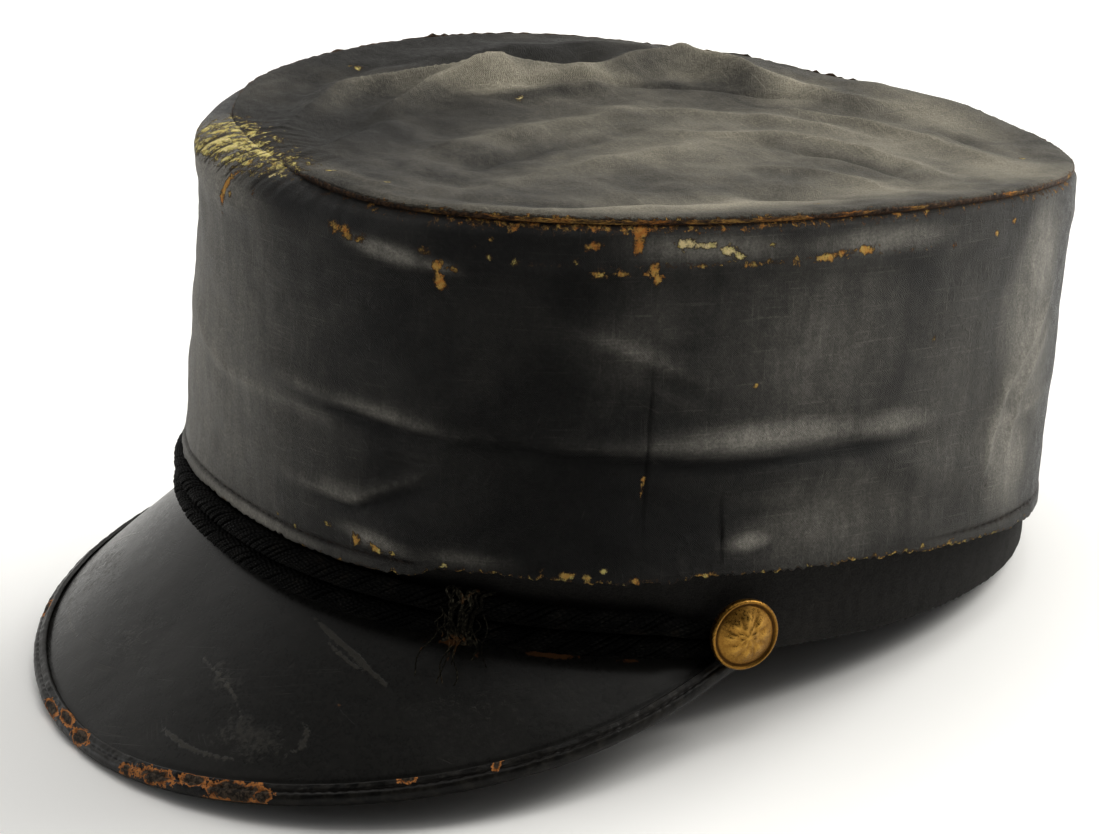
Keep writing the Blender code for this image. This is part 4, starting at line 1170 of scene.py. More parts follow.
def add_peak(material):
    """The peak: from its root inside the band, down its upper face to its edge, and back underneath."""
    turns = np.linspace(-PEAK_TURN, PEAK_TURN, PEAK_COLUMNS)
    edge = BINDING_WALL + BINDING_NOSE * BINDING_DEPTH + 2.0 * GAP
    reach = peak_length(turns) - np.minimum(edge, peak_length(turns) / 2.0)
    runs = np.linspace(0.0, 1.0, PEAK_ROWS)[:, None]
    out = reach * runs
    under_out = reach * np.linspace(1.0, 0.0, PEAK_UNDER_ROWS)[:, None]
    turn = np.broadcast_to(turns, out.shape)
    fade = np.minimum(1.0, 5.0 * runs) * ramp(reach, 0.0, 12.0 * MM)
    upper = peak_face(turn, out, peak_detail(turn, out) * fade)
    under = peak_face(turn[:PEAK_UNDER_ROWS], under_out, -LEATHER)
    roots = np.stack([upper[0], under[-1]])
    roots[..., :2] = pushed(roots[..., :2], turns, band_oval, -PEAK_ROOT - BAND_WALL)
    points = np.concatenate([roots[:1], upper, under, roots[1:]])
    outs = np.concatenate([out[:1], out, under_out, under_out[-1:]])
    side = np.broadcast_to(turns, outs.shape) * PEAK_SCALE[0]
    values = {
        "scuff": spots(PEAK_SCUFFS, side, outs, PEAK_SCALE)[0],
        "mark": line_folds(PEAK_MARKS, side, outs, PEAK_SCALE, power=4.0),
        "rust": spots(PEAK_RUST, side, outs, PEAK_SCALE)[0],
        "below": (np.arange(len(outs)) > PEAK_ROWS)[:, None],
    }
    along = distances(band_oval(turns))
    piece = add_grid("glazed_peak", points, along, LEATHER, material, values, ring=False)
    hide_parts("peak")


def binding_section():
    """The binding's section: a rounded fold over the peak's edge, a stitch groove near its inner end."""
    inner = LEATHER / 2.0 + GAP
    half = inner + BINDING_WALL
    angles = np.radians(np.linspace(90.0, -90.0, 25))
    power = 2.0 / 2.4
    nose_back = 0.45 * (1.0 - np.abs(np.cos(angles)) ** power)
    nose_lift = half * np.sign(np.sin(angles)) * np.abs(np.sin(angles)) ** power
    flat = np.linspace(1.0, 0.48, 16)
    back = np.concatenate([flat, nose_back, flat[::-1]])
    lift = np.concatenate([np.full(16, half), nose_lift, np.full(16, -half)])
    groove = 0.32 * MM * bell(back - BINDING_GROOVE, 0.075)
    end = ramp(back, 0.90, 1.0) ** 2 * 0.75 * (half - inner)
    lift = lift - np.sign(lift) * (groove + end)
    inner_back = [1.0, 0.8, 0.6, 0.4, 0.27, 0.27, 0.4, 0.6, 0.8, 1.0]
    inner_lift = np.array([-1.0, -1.0, -1.0, -1.0, -0.8, 0.8, 1.0, 1.0, 1.0, 1.0]) * inner
    outer = np.arange(len(back) + 10) < len(back)
    return np.append(back, inner_back)[:, None], np.append(lift, inner_lift)[:, None], outer[:, None]


def add_binding(material):
    """The binding of the peak's edge: its section carried along the edge, closed at both ends."""
    turns = np.linspace(-PEAK_TURN, PEAK_TURN, BINDING_COLUMNS)
    back, lift, outer = binding_section()
    turn, reach = np.broadcast_arrays(turns, back)
    along = distances(binding_face(turns, 0.0, 0.0))
    deep = BINDING_DEPTH / MM
    scale = (2.1 * MM, MM)
    table = {
        name: [(spot[0], spot[1] * deep, spot[2], spot[3] * deep, 0.0, spot[4]) for spot in group]
        for name, group in BINDING_SPOTS.items()
    }
    chip, _ = spots(table, turn * scale[0], reach * BINDING_DEPTH, scale)
    stitches = np.sin(WHOLE_TURN * along / STITCH) * bell(reach - BINDING_GROOVE, 0.08)
    places = np.stack([np.broadcast_to(along, turn.shape), reach * BINDING_DEPTH], axis=-1)
    swell = 0.10 * stitches + unevenness(places, (0.05, 3.0, 71), (0.10, 14.0, 72)) - 0.12 * (chip > 0.5)
    points = binding_face(turn, reach, lift + MM * np.sign(lift) * swell * outer)
    values = {"chip": chip * (lift > 0.0), "groove": bell(reach - BINDING_GROOVE, 0.07) * outer}
    piece = add_grid("peak_rim", points, along, 0.4 * MM, material, values, ring=False)
    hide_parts("peak_binding")


def tube(path, radius, sides):
    """Rings of points round a path: rows go round and columns go along, with one radius or one for each.

    The rings are square to the path, and start as level and outward as they can be.
    """
    along = np.gradient(path, axis=0)
    along /= np.linalg.norm(along, axis=-1, keepdims=True)
    side = np.cross(along, np.array([0.0, 0.0, 1.0]))
    side /= np.linalg.norm(side, axis=-1, keepdims=True)
    up = np.cross(side, along)
    angles = (np.arange(sides) * WHOLE_TURN / sides)[:, None, None]
    return path + np.broadcast_to(radius, len(path))[:, None] * (np.cos(angles) * side + np.sin(angles) * up)


def add_strands(name, strands, labels, material):
    """Many tubes as one piece: a list of grids of points, each closed round and capped, with its label."""
    groups = {4: []}
    uvs = {4: []}
    start = 0
    for grid in strands:
        sides, columns = grid.shape[:2]
        faces, places = grid_faces(sides, columns, False, True)
        around = np.linspace(0.0, 4.0 * MM, sides + 1)
        groups[4].append(faces + start)
        uvs[4].append(np.stack([distances(grid[0])[places[..., 1]], around[places[..., 0]]], axis=-1))
        first = np.arange(sides)[None] * columns + start
        groups.setdefault(sides, []).extend([first[:, ::-1], first + columns - 1])
        uvs.setdefault(sides, []).append(np.zeros((2, sides, 2)))
        start += grid.size // 3
    points = np.concatenate([grid.reshape(-1, 3) for grid in strands])
    values = {"strand": np.repeat(labels, [grid.size // 3 for grid in strands])}
    groups = [np.concatenate(group) for group in groups.values()]
    uvs = [np.concatenate(group) for group in uvs.values()]
    return add_mesh(name, points, groups, uvs, material, values)


def add_cord(name, row, material, node_name):
    """One cord of the braid: an oval core, and yarns laid round it in long turns."""
    end = BUTTON_TURN - math.degrees((SHANK_RADIUS + GAP) / BAND_HALF_WIDTH)
    turns = np.linspace(-end, end, CORD_COLUMNS)
    share = cord_share(turns)
    line = cord_line(turns, row)
    length = distances(line)
    across = raised(outward(turns, band_oval), np.zeros(len(turns)))
    upward = np.array([0.0, 0.0, 1.0])
    angles = (np.arange(16) * WHOLE_TURN / 16)[:, None, None]
    oval_section = np.cos(angles) * CORD_HALF_DEPTH * across + np.sin(angles) * CORD_HALF_HEIGHT * upward
    strands = [at_rest(line + 0.72 * share[:, None] * oval_section)]
    labels = [0.0]
    draw = np.random.default_rng(80 + row)
    for number in range(YARNS):
        phase = WHOLE_TURN * number / YARNS + draw.uniform(-0.12, 0.12)
        sway = 0.10 * np.cos(WHOLE_TURN * length / draw.uniform(0.02, 0.05) + draw.uniform(0.0, 6.3))
        angle = phase + WHOLE_TURN * length / LAY + sway
        thick = YARN_RADIUS * draw.uniform(0.85, 1.15) * share
        out = (CORD_HALF_DEPTH * share - thick) * (1.0 + 0.03 * draw.normal())
        up = (CORD_HALF_HEIGHT * share - thick) * (1.0 + 0.03 * draw.normal())
        path = line + across * (out * np.cos(angle))[:, None] + upward * (up * np.sin(angle))[:, None]
        strands.append(at_rest(tube(path, thick, 8)))
        labels.append(draw.uniform(0.15, 1.0))
    piece = add_strands(name, strands, labels, material)
    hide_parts(node_name)


def add_keeper(name, middle, loose, material, node_name):
    """A slide: threads wound over both cords, side by side, and on the worn one some ends that hang loose."""
    draw = np.random.default_rng(90 + int(loose))
    half = math.degrees(KEEPER_WIDTH / 2.0 / BAND_HALF_WIDTH)
    spread = 2.2 if loose else 0.15
    wobble = 0.35 if loose else 0.03
    angles = np.radians(np.concatenate([np.linspace(-62.0, 15.0, 14), np.linspace(-15.0, 112.0, 22)]))
    upper = np.arange(len(angles)) > 13
    strands = []
    labels = []
    for number in range(11):
        lean = draw.uniform(-spread, spread)
        turn = middle + half * (number / 5.0 - 1.0) + 0.1 * draw.normal()
        turns = turn + lean * np.linspace(-1.0, 1.0, len(angles))
        turns = turns + wobble * np.sin(np.linspace(0.0, draw.uniform(6.0, 16.0), len(angles)))
        path = np.where(upper[:, None], cord_line(turns, 1), cord_line(turns, 0))
        out = CORD_HALF_DEPTH + GAP + 0.35 * MM + 0.25 * MM * draw.random()
        path[:, :2] = pushed(path[:, :2], turns, band_oval, out * np.cos(angles))
        path[:, 2] += (CORD_HALF_HEIGHT + GAP + 0.35 * MM) * np.sin(angles)
        path = np.delete(path, 13, axis=0)
        strands.append(at_rest(tube(path, 0.34 * MM * draw.uniform(0.8, 1.2), 7)))
        labels.append(draw.uniform(0.0, 1.0))
    steps = np.linspace(0.0, 1.0, 26)
    for _ in range(12 if loose else 0):
        turn = middle + draw.uniform(-3.4, 3.0)
        turns = turn + (draw.uniform(-2.2, 2.6) * steps + 0.5 * np.sin(steps * draw.uniform(3.0, 9.0)))
        drop = draw.uniform(3.0, 13.0) * MM * steps
        start = draw.uniform(0.1, 1.0)
        path = cord_line(turns, 0) * (1.0 - start) + cord_line(turns, 1) * start
        path[:, 2] -= drop
        bulge = CORD_HALF_DEPTH + 0.9 * MM + 0.5 * MM * draw.random() + 0.6 * MM * np.sin(steps * 5.0)
        beyond = np.clip(drop / MM - start * STACK * 0.5 / MM - 2.0, 0.0, 12.0)
        path[:, :2] = pushed(path[:, :2], turns, band_oval, bulge + 0.85 * MM * beyond)
        strands.append(at_rest(tube(path, 0.16 * MM, 5)))
        labels.append(draw.uniform(0.5, 1.0))
    piece = add_strands(name, strands, labels, material)
    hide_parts(node_name)


def rosette(share, angle):
    """A plain rosette in relief: two rings of petals round a boss, and fine ribs on the outer petals."""
    outer = bell(share - 0.60, 0.20)
    petals = outer * (0.5 + 0.5 * np.cos(8.0 * angle))
    inner = bell(share - 0.28, 0.12) * (0.5 - 0.5 * np.cos(8.0 * angle))
    return petals + 0.8 * inner + bell(share, 0.12) + 0.125 * outer * np.cos(24.0 * angle + 9.0 * share)


def add_button(name, turn, material, node_name):
    """A button: a domed face with a rosette, a groove and a raised rim, turned round its shank."""
    face = BUTTON_STAND + BUTTON_THICKNESS
    turns = np.array([turn])
    height = foot_height(turns) + BUTTON_HEIGHT
    stand = raised(band_face(turns, height), height)[0]
    normal = np.append(outward(turns, band_oval)[0], 0.0)
    right = np.array([-normal[1], normal[0], 0.0])
    upward = np.array([0.0, 0.0, 1.0])
    share = np.linspace(0.02, 0.80, 60)
    shank = SHANK_RADIUS / BUTTON_RADIUS
    deep = (face - GAP) / BUTTON_THICKNESS
    rim_radii = [0.825, 0.845, 0.865, 0.885, 0.91, 0.94, 0.97, 0.99, 1.0, 0.995, 0.96, 0.90]
    rim_backs = [0.41, 0.46, 0.48, 0.43, 0.365, 0.345, 0.37, 0.43, 0.52, 0.66, 0.84, 0.97]
    radii = np.concatenate([share, rim_radii, [0.6, shank * 1.1, shank, shank, shank * 0.5]])[:, None]
    backs = np.concatenate([0.42 * (share / 0.84) ** 2, rim_backs, [1.0, 1.0, 1.03, deep, deep]])[:, None]
    angles = np.linspace(0.0, WHOLE_TURN, 144, endpoint=False)
    relief = 0.27 * rosette(radii / 0.80, angles) * ramp(radii, 0.80, 0.74)
    relief = relief + 0.07 * (0.5 + 0.5 * np.cos(48.0 * angles + 30.0 * radii)) * bell(radii - 0.94, 0.04)
    out = np.maximum(face - backs * BUTTON_THICKNESS + MM * relief - 0.30 * MM, GAP)
    level = radii * BUTTON_RADIUS
    points = stand + normal * out[..., None] + right * (level * np.cos(angles))[..., None]
    points = points + upward * (level * np.sin(angles))[..., None]
    tarnish = np.broadcast_to(bell(radii - 0.86, 0.035), out.shape)
    values = {"relief": np.append(relief, [0.3, 0.0]), "groove": np.append(tarnish, [0.0, 1.0])}
    piece = add_disc(name, points, points[[0, -1]].mean(axis=1), material, values)
    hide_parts(node_name)


class Value:
    """A number, colour or vector that varies over a surface. Reckoning with it adds nodes to its tree."""

    def __init__(self, socket):
        self.socket = socket
        self.tree = socket.id_data

    def reckon(self, operation, *others):
        values = dict(enumerate([self, *others]))
        return Value(place(self.tree, "ShaderNodeMath", values, operation=operation).outputs[0])

    def __add__(self, other):
        return self.reckon("ADD", other)

    def __sub__(self, other):
        return self.reckon("SUBTRACT", other)

    def __mul__(self, other):
        return self.reckon("MULTIPLY", other)

    def __pow__(self, other):
        return self.reckon("POWER", other)


def fill(node, values):
    """Gives a node's inputs their values, colours or links."""
    for label, value in values.items():
        socket = node.inputs[label]
        if isinstance(value, Value):
            value.tree.links.new(value.socket, socket)
        elif socket.type == "RGBA":
            socket.default_value = (*value, 1.0)
        else:
            socket.default_value = value


def place(tree, kind, values, **settings):
    """Adds a node with its settings, and fills its inputs."""
    node = tree.nodes.new(kind)
    for label, setting in settings.items():
        setattr(node, label, setting)
    fill(node, values)
    return node


def noise(vector, *settings):
    """Noise whose patches are one over the scale in metres: its scale, detail, roughness and distortion."""
    labels = ("Scale", "Detail", "Roughness", "Distortion")
    values = {"Vector": vector, "Roughness": 0.6, **dict(zip(labels, settings))}
    return Value(place(vector.tree, "ShaderNodeTexNoise", values).outputs[0])


def highest(first, second):
    return first.reckon("MAXIMUM", second)


def ease(value, low, high, to_low=0.0, to_high=1.0):
    """A smooth step from one value to another as the input goes from low to high."""
    values = dict(enumerate([value, low, high, to_low, to_high]))
    return Value(place(value.tree, "ShaderNodeMapRange", values, interpolation_type="SMOOTHSTEP").outputs[0])


def tint(share, first, second):
    """A colour between two colours."""
    values = {0: share, 6: first, 7: second}
    return Value(place(share.tree, "ShaderNodeMix", values, data_type="RGBA").outputs[2])


def vectors(operation, first, second):
    values = {0: first, 1: second}
    return Value(place(first.tree, "ShaderNodeVectorMath", values, operation=operation).outputs[0])


def stretched(vector, across, along):
    """Coordinates multiplied by a number each way, to draw a pattern out."""
    return vectors("MULTIPLY", vector, (across, along, 1.0))


def parts(vector):
    """The three numbers of a vector."""
    return [Value(socket) for socket in place(vector.tree, "ShaderNodeSeparateXYZ", {0: vector}).outputs]


def measure(tree, label):
    """A value that the piece's mesh carries from point to point."""
    return Value(place(tree, "ShaderNodeAttribute", {}, attribute_name=label).outputs["Fac"])


def object_place(tree):
    return Value(place(tree, "ShaderNodeTexCoord", {}).outputs["Object"])


def surface_place(tree):
    return Value(place(tree, "ShaderNodeUVMap", {}, uv_map="surface").outputs["UV"])


def new_group(name, inputs, outputs):
    """A node group with named inputs, a vector where there is no first value, and named outputs: what its
    results are filled in to, and its inputs."""
    group = bpy.data.node_groups.new(name, "ShaderNodeTree")
    for label, value in inputs.items():
        kind = "NodeSocketVector" if value is None else "NodeSocketFloat"
        socket = group.interface.new_socket(label, in_out="INPUT", socket_type=kind)
        if value is not None:
            socket.default_value = value
    for label in outputs:
        kind = "NodeSocketColor" if label == "Colour" else "NodeSocketFloat"
        group.interface.new_socket(label, in_out="OUTPUT", socket_type=kind)
    start = group.nodes.new("NodeGroupInput")
    end = group.nodes.new("NodeGroupOutput")
    return end, [Value(start.outputs[label]) for label in inputs]


def use(name, **values):
    """Places a group in the tree of its vector, with a material's own values, and gives what it puts out."""
    node = place(values["Vector"].tree, "ShaderNodeGroup", {}, node_tree=bpy.data.node_groups[name])
    fill(node, values)
    return {socket.name: Value(socket) for socket in node.outputs}


def make_grain():
    """Grain: unevenness at three sizes, for tone and for height."""
    outputs = ("Broad", "Middle", "Fine", "Height")
    end, (vector, size) = new_group("grain", {"Vector": None, "Size": 1.0}, outputs)
    scale = size ** -1.0
    broad = noise(vector, scale * 0.06, 6.0, 0.62, 0.4)
    middle = noise(vector, scale * 0.30, 3.0, 0.6, 0.3)
    fine = noise(vector, scale, 4.0, 0.72, 0.2)
    fill(end, {"Broad": broad, "Middle": middle, "Fine": fine, "Height": broad * 0.4 + fine + middle * 0.5})


def make_weave():
    """Weave: threads crossing two ways under the paint, each way a row of soft ridges a little unevenly set,
    showing more in some places than in others."""
    end, (vector, threads) = new_group("weave", {"Vector": None, "Threads": 2000.0}, ("Height", "Slubs"))
    moved = vectors("ADD", vector, noise(vector, 500.0, 2.0, 0.5) * 0.0012)
    across, along = [(part * threads * WHOLE_TURN).reckon("COSINE") for part in parts(moved)[:2]]
    over = noise(stretched(vector, 70.0, 1300.0), 1.0, 2.0)
    down = noise(stretched(vector, 1300.0, 70.0), 1.0, 2.0)
    slubs = highest(ease(over, 0.56, 0.74), ease(down, 0.58, 0.76))
    fill(end, {"Height": across * along * 0.5 + 0.5, "Slubs": slubs})


def make_wear():
    """Wear: where a field, roughened with noise, is high the face is worn through to the cloth,
    and the broken edge round it shows as a rim. The cloth's colour follows a tone."""
    inputs = {"Vector": None, "Field": 0.0, "Tone": 0.0, "Roughness": 0.5}
    outputs = ("Bare", "Rim", "Colour", "Height")
    end, (vector, field, tone, roughness) = new_group("wear", inputs, outputs)
    jagged = noise(vector, 2100.0, 3.0, 0.7) * 1.6 + noise(vector, 520.0, 4.0, 0.62, 0.5) * 3.6 - 2.6
    edge = jagged * roughness + field
    here = ease(field, 0.08, 0.22)
    bare = ease(edge, 0.46, 0.62) * here
    around = ease(edge, 0.36, 0.47) * here
    tone = tone + ease(noise(vector, 700.0, 3.0), 0.3, 0.7, -0.16, 0.20)
    warm = tint(ease(tone, 0.0, 0.4), (0.50, 0.185, 0.036), (0.54, 0.335, 0.085))
    cool = tint(ease(tone, 0.6, 0.95), (0.640, 0.555, 0.185), (0.82, 0.68, 0.36))
    cloth = tint(ease(tone, 0.35, 0.62), warm, cool)
    threads = noise(vector, 1500.0, 3.0, 0.8)
    dirt = noise(vector, 300.0, 5.0, 0.7)
    shade = ease(dirt * 1.2 + (edge - 0.5) * 0.9 + threads, 1.02, 1.66)
    cloth = tint(shade, (0.050, 0.030, 0.014), cloth)
    height = threads * 0.5 - bare * 1.2
    fill(end, {"Bare": bare, "Rim": around - around * bare, "Colour": cloth, "Height": height})


def make_scratches():
    """Scratches: straight thin lines of noise drawn out far one way, kept only in patches."""
    inputs = {"Vector": None, "Heading": 0.0, "Scale": 300.0, "Amount": 0.5}
    end, (vector, heading, scale, amount) = new_group("scratches", inputs, ("Mask",))
    values = {"Vector": vector, "Angle": heading}
    turned = Value(place(vector.tree, "ShaderNodeVectorRotate", values, rotation_type="Z_AXIS").outputs[0])
    lines = noise(stretched(turned, 0.035, 1.0), scale, 1.0, 0.5)
    thin = ease((lines - 0.5).reckon("ABSOLUTE"), 0.010, 0.0)
    patches = noise(vector, scale * 0.22, 2.0)
    fill(end, {"Mask": thin * ease(amount * 0.3 + patches, 0.62, 0.70)})


def new_material(name):
    material = bpy.data.materials.new(name)
    material.use_nodes = True
    return material, material.node_tree


def finish(material, colour, roughness, height, depth, specular, **others):
    """Links a finish to the material's shader, with a bump of some depth in metres."""
    tree = material.node_tree
    values = {"Height": height, "Distance": depth, "Strength": 1.0}
    normal = Value(place(tree, "ShaderNodeBump", values).outputs["Normal"])
    values = {"Base Color": colour, "Roughness": roughness, "Normal": normal, "Specular IOR Level": specular}
    fill(tree.nodes["Principled BSDF"], {**values, **others})
    return material


def make_oilcloth(name, dark, grey, pale, specular, roughness, speckle, drawn, unworn):
    """Oilcloth: a dark painted face, dulled and greyed in patches, rubbed pale on its folds, and worn
    through to the cloth. It is also painted with light, paler on lit crests and faces, and with shade,
    darker in its creases, in the bottoms of its gathers and where it lies in shade."""
    material, tree = new_material(name)
    here = object_place(tree)
    flat = surface_place(tree)
    bare, tone, scuff = measure(tree, "bare"), measure(tree, "tone"), measure(tree, "scuff")
    crest, groove, inside = measure(tree, "crest"), measure(tree, "groove"), measure(tree, "inside")
    grain = use("grain", Vector=here, Size=0.0011)
    weave = use("weave", Vector=flat, Threads=2050.0)
    wear = use("wear", Vector=here, Field=bare, Tone=tone, Roughness=0.62)
    level = use("scratches", Vector=flat, Heading=0.5, Scale=330.0, Amount=0.15)["Mask"]
    steep = use("scratches", Vector=flat, Heading=1.9, Scale=410.0, Amount=0.12)["Mask"]
    scratch = highest(level, steep)
    clouds = ease(grain["Broad"], 0.36, 0.66)
    blotchy = ease(grain["Middle"], 0.36, 0.64)
    specks = ease(grain["Fine"], 0.40, 0.68)
    # How pale the face is: rubs on crests and in scuffs, with painted highlights and painted light among
    # them.
    rubbed = crest * 0.50 + scuff * 0.9 + clouds * 0.10 + 0.10
    rubbed = rubbed + weave["Slubs"] * 0.12 + weave["Height"] * 0.10
    streaks = noise(stretched(flat, 260.0, 50.0), 1.0, 4.0)
    streaky = ease(streaks, 0.30, 0.70, 1.0 - drawn, 1.0 + 0.6 * drawn)
    broken = blotchy * (0.6 * speckle) + specks * speckle + (1.0 - 1.1 * speckle)
    mottled = (ease(rubbed, unworn, 1.30) * broken * streaky) ** 1.6
    # Where the scuff values fall below zero, dulling and painted shade darken the face.
    colour = tint((specks * 0.5 + clouds * 0.6) * ease(scuff, -0.9, 0.1), dark, grey)
    colour = tint(mottled, colour, pale)
    colour = tint(scratch * 0.05, colour, pale)
    grit = noise(here, 1900.0, 3.0, 0.8)
    colour = tint(ease(grit, 0.38, 0.64, 0.0, 0.36), colour, dark)
    # Painted shade in the creases, where the crest values fall below zero.
    colour = tint(ease(crest, -0.05, -0.80) * 0.55, colour, dark)
    colour = tint(wear["Rim"] * 0.80, colour, (0.040, 0.018, 0.007))
    colour = tint(wear["Bare"], colour, wear["Colour"])
    # The stitch line's thread colour, also used for painted shade in the bottoms of the gathers.
    stitched = tint(specks, (0.0018, 0.0012, 0.0010), (0.024, 0.012, 0.006))
    colour = tint(groove * 0.92, colour, stitched)
    lining = tint(grain["Fine"], (0.045, 0.030, 0.017), (0.12, 0.082, 0.046))
    colour = tint(ease(inside, 0.4, 0.6), colour, lining)
    gloss = mottled * 0.20 + specks * 0.10 + blotchy * 0.08 + roughness
    gloss = highest(gloss, highest(wear["Bare"], inside) * 0.88)
    height = wear["Height"] * 1.1 + grain["Height"] - scratch * 0.2 + wear["Rim"] * 0.5
    height = height + weave["Height"] * 0.62 + weave["Slubs"] * 0.26 + grit * 0.55
    return finish(material, colour, gloss, height, 0.00036, specular)


def make_seam_cloth():
    """The seam's raw edge: a brown stitched groove low down, and a frayed edge rubbed orange in dashes."""
    material, tree = new_material("raw_seam_edge")
    height = measure(tree, "height")
    grain = use("grain", Vector=object_place(tree), Size=0.0010)
    flat = surface_place(tree)
    threads = noise(stretched(flat, 900.0, 2600.0), 1.0, 4.0, 0.7)
    dashes = noise(stretched(flat, 130.0, 420.0), 1.0, 4.0, 0.68, 0.3)
    rub = dashes * 1.5 + measure(tree, "worn") + measure(tree, "patch") * 0.15
    share = ease(rub, 1.20, 1.42) * ease(height, 0.12, 0.30)
    orange = tint(ease(grain["Broad"], 0.42, 0.58), (0.42, 0.160, 0.034), (0.44, 0.260, 0.070))
    cloth = tint(ease(threads, 0.35, 0.70), (0.075, 0.036, 0.014), orange)
    edge = tint(ease(grain["Fine"], 0.4, 0.65), (0.012, 0.008, 0.006), (0.070, 0.036, 0.016))
    brown = tint(threads, (0.016, 0.009, 0.007), (0.050, 0.024, 0.014))
    colour = tint(ease(height, 0.30, 0.12), tint(share, edge, cloth), brown)
    return finish(material, colour, ease(share, 0.0, 1.0, 0.55, 0.9), threads + grain["Fine"], 0.00045, 0.08)


def make_wool():
    """Black wool felt: matt, with short hairs lying all ways, and a little lint."""
    material, tree = new_material("black_wool")
    flat = surface_place(tree)
    grain = use("grain", Vector=object_place(tree), Size=0.002)
    hairs = noise(stretched(flat, 900.0, 2400.0), 1.0, 6.0, 0.75, 1.5)
    nap = noise(stretched(flat, 2600.0, 1000.0), 1.0, 5.0, 0.7, 1.5) * 0.5 + hairs
    colour = tint(ease(nap, 0.55, 0.95), (0.0030, 0.0029, 0.0028), (0.0150, 0.0138, 0.0120))
    colour = tint(ease(grain["Broad"], 0.5, 0.75, 0.0, 0.5), colour, (0.028, 0.025, 0.021))
    sheen = {"Sheen Weight": 0.03, "Sheen Roughness": 0.5}
    return finish(material, colour, 0.95, nap, 0.00035, 0.15, **sheen)


def make_peak_leather():
    """Glazed leather: black and smooth, with fine crazing, scratches, rubs and dust, and dull underneath."""
    material, tree = new_material("glazed_leather_face")
    flat = surface_place(tree)
    grain = use("grain", Vector=object_place(tree), Size=0.0014)
    along = use("scratches", Vector=flat, Heading=0.35, Scale=260.0, Amount=0.22)["Mask"]
    down = use("scratches", Vector=flat, Heading=2.3, Scale=420.0, Amount=0.06)["Mask"]
    hairs = use("scratches", Vector=flat, Heading=1.2, Scale=700.0, Amount=0.16)["Mask"]
    lines = highest(highest(along, down * 0.8), hairs * 0.6)
    specks = ease(grain["Fine"], 0.42, 0.70)
    clouds = ease(grain["Broad"], 0.42, 0.68)
    pits = grain["Middle"] * 0.7 + grain["Fine"]
    broken = ease(pits * 0.9 + measure(tree, "scuff"), 0.98, 1.30)
    cut = ease(pits * 0.8 + measure(tree, "mark"), 0.98, 1.16)
    stained = ease(grain["Fine"] * 1.2 + measure(tree, "rust"), 1.02, 1.25)
    below = ease(measure(tree, "below"), 0.4, 0.6)
    colour = tint(clouds, (0.0080, 0.0078, 0.0072), (0.0116, 0.0112, 0.0102))
    colour = tint(specks * 0.05, colour, (0.080, 0.074, 0.060))
    colour = tint(broken * 0.20, colour, (0.100, 0.092, 0.075))
    colour = tint(cut * 0.17, colour, (0.150, 0.138, 0.112))
    colour = tint(lines * 0.09, colour, (0.11, 0.100, 0.080))
    colour = tint(stained * 0.8, colour, (0.115, 0.048, 0.016))
    colour = tint(below, colour, tint(grain["Fine"], (0.022, 0.016, 0.012), (0.060, 0.043, 0.030)))
    gloss = clouds * 0.02 + specks * 0.08 + highest(broken, lines) * 0.12 + 0.27
    gloss = highest(gloss, highest(below, stained) * 0.8)
    height = grain["Height"] * 0.35 - lines * 0.15 + highest(broken, cut) * 0.30
    return finish(material, colour, gloss, height, 0.00013, 0.13)


def make_rim_leather():
    """The binding's leather: as dark as the peak, creased, with chips that show brown round a grey middle."""
    material, tree = new_material("glazed_leather_rim")
    grain = use("grain", Vector=object_place(tree), Size=0.0011)
    chip = measure(tree, "chip")
    rough = grain["Middle"] * 1.1 + grain["Fine"]
    jagged = (rough - 1.05) * ease(chip, 0.05, 0.3) * 1.25 + chip
    bare = ease(jagged, 0.40, 0.46)
    clouds = ease(grain["Broad"], 0.4, 0.7)
    colour = tint(clouds, (0.0030, 0.0028, 0.0026), (0.0085, 0.0075, 0.0062))
    colour = tint(ease(rough, 0.95, 1.30) * 0.14, colour, (0.075, 0.068, 0.055))
    colour = tint(measure(tree, "groove"), colour, (0.0050, 0.0040, 0.0035))
    grey = tint(ease(grain["Fine"], 0.42, 0.68), (0.010, 0.008, 0.006), (0.085, 0.060, 0.040))
    orange = tint(ease(grain["Fine"], 0.35, 0.6), (0.150, 0.050, 0.014), (0.500, 0.190, 0.050))
    colour = tint(bare, colour, tint(ease(jagged, 0.60, 0.72), orange, grey))
    gloss = highest(clouds * 0.14 + 0.34, bare * 0.8)
    return finish(material, colour, gloss, grain["Height"] * 0.6 - bare * 0.7, 0.00020, 0.12)


def make_mohair(name, dark, pale, brown):
    """Yarn: fine hairs drawn out along each yarn and a little across it, each yarn of its own shade. The
    hairs and the ply's ridges are painted pale: partly the yarn's own colour, partly a painted sheen.
    """
    material, tree = new_material(name)
    flat = surface_place(tree)
    strand = measure(tree, "strand")
    shift = Value(place(tree, "ShaderNodeCombineXYZ", {"X": strand, "Y": strand * 7.0}).outputs[0])
    turned = {"Vector": flat, "Rotation": (0.0, 0.0, 0.42)}
    slanted = Value(place(tree, "ShaderNodeMapping", turned).outputs[0])
    hairs = noise(stretched(vectors("ADD", slanted, shift), 260.0, 3400.0), 1.0, 4.0, 0.65, 0.4)
    patches = noise(object_place(tree), 160.0, 4.0)
    along, around, _ = parts(flat)
    ply = (along * (WHOLE_TURN / 0.0013) + around * (WHOLE_TURN / 0.004) + strand).reckon("COSINE")
    # Pale on the hairs and the ply's ridges: the yarn's own colour in part, and in part a painted sheen.
    sheen = ease(patches * 0.5 + hairs, 0.66, 1.0) * ease(ply, -0.8, 0.6, 0.25, 1.0)
    colour = tint(sheen * ease(strand, 0.0, 1.0, 0.35, 1.0), dark, pale)
    colour = tint(ease(patches + strand * 0.12, 0.66, 0.76, 0.0, 0.6), colour, brown)
    return finish(material, colour, ease(hairs, 0.3, 0.7, 0.50, 0.75), ply * 0.35 + hairs, 0.00036, 0.02)


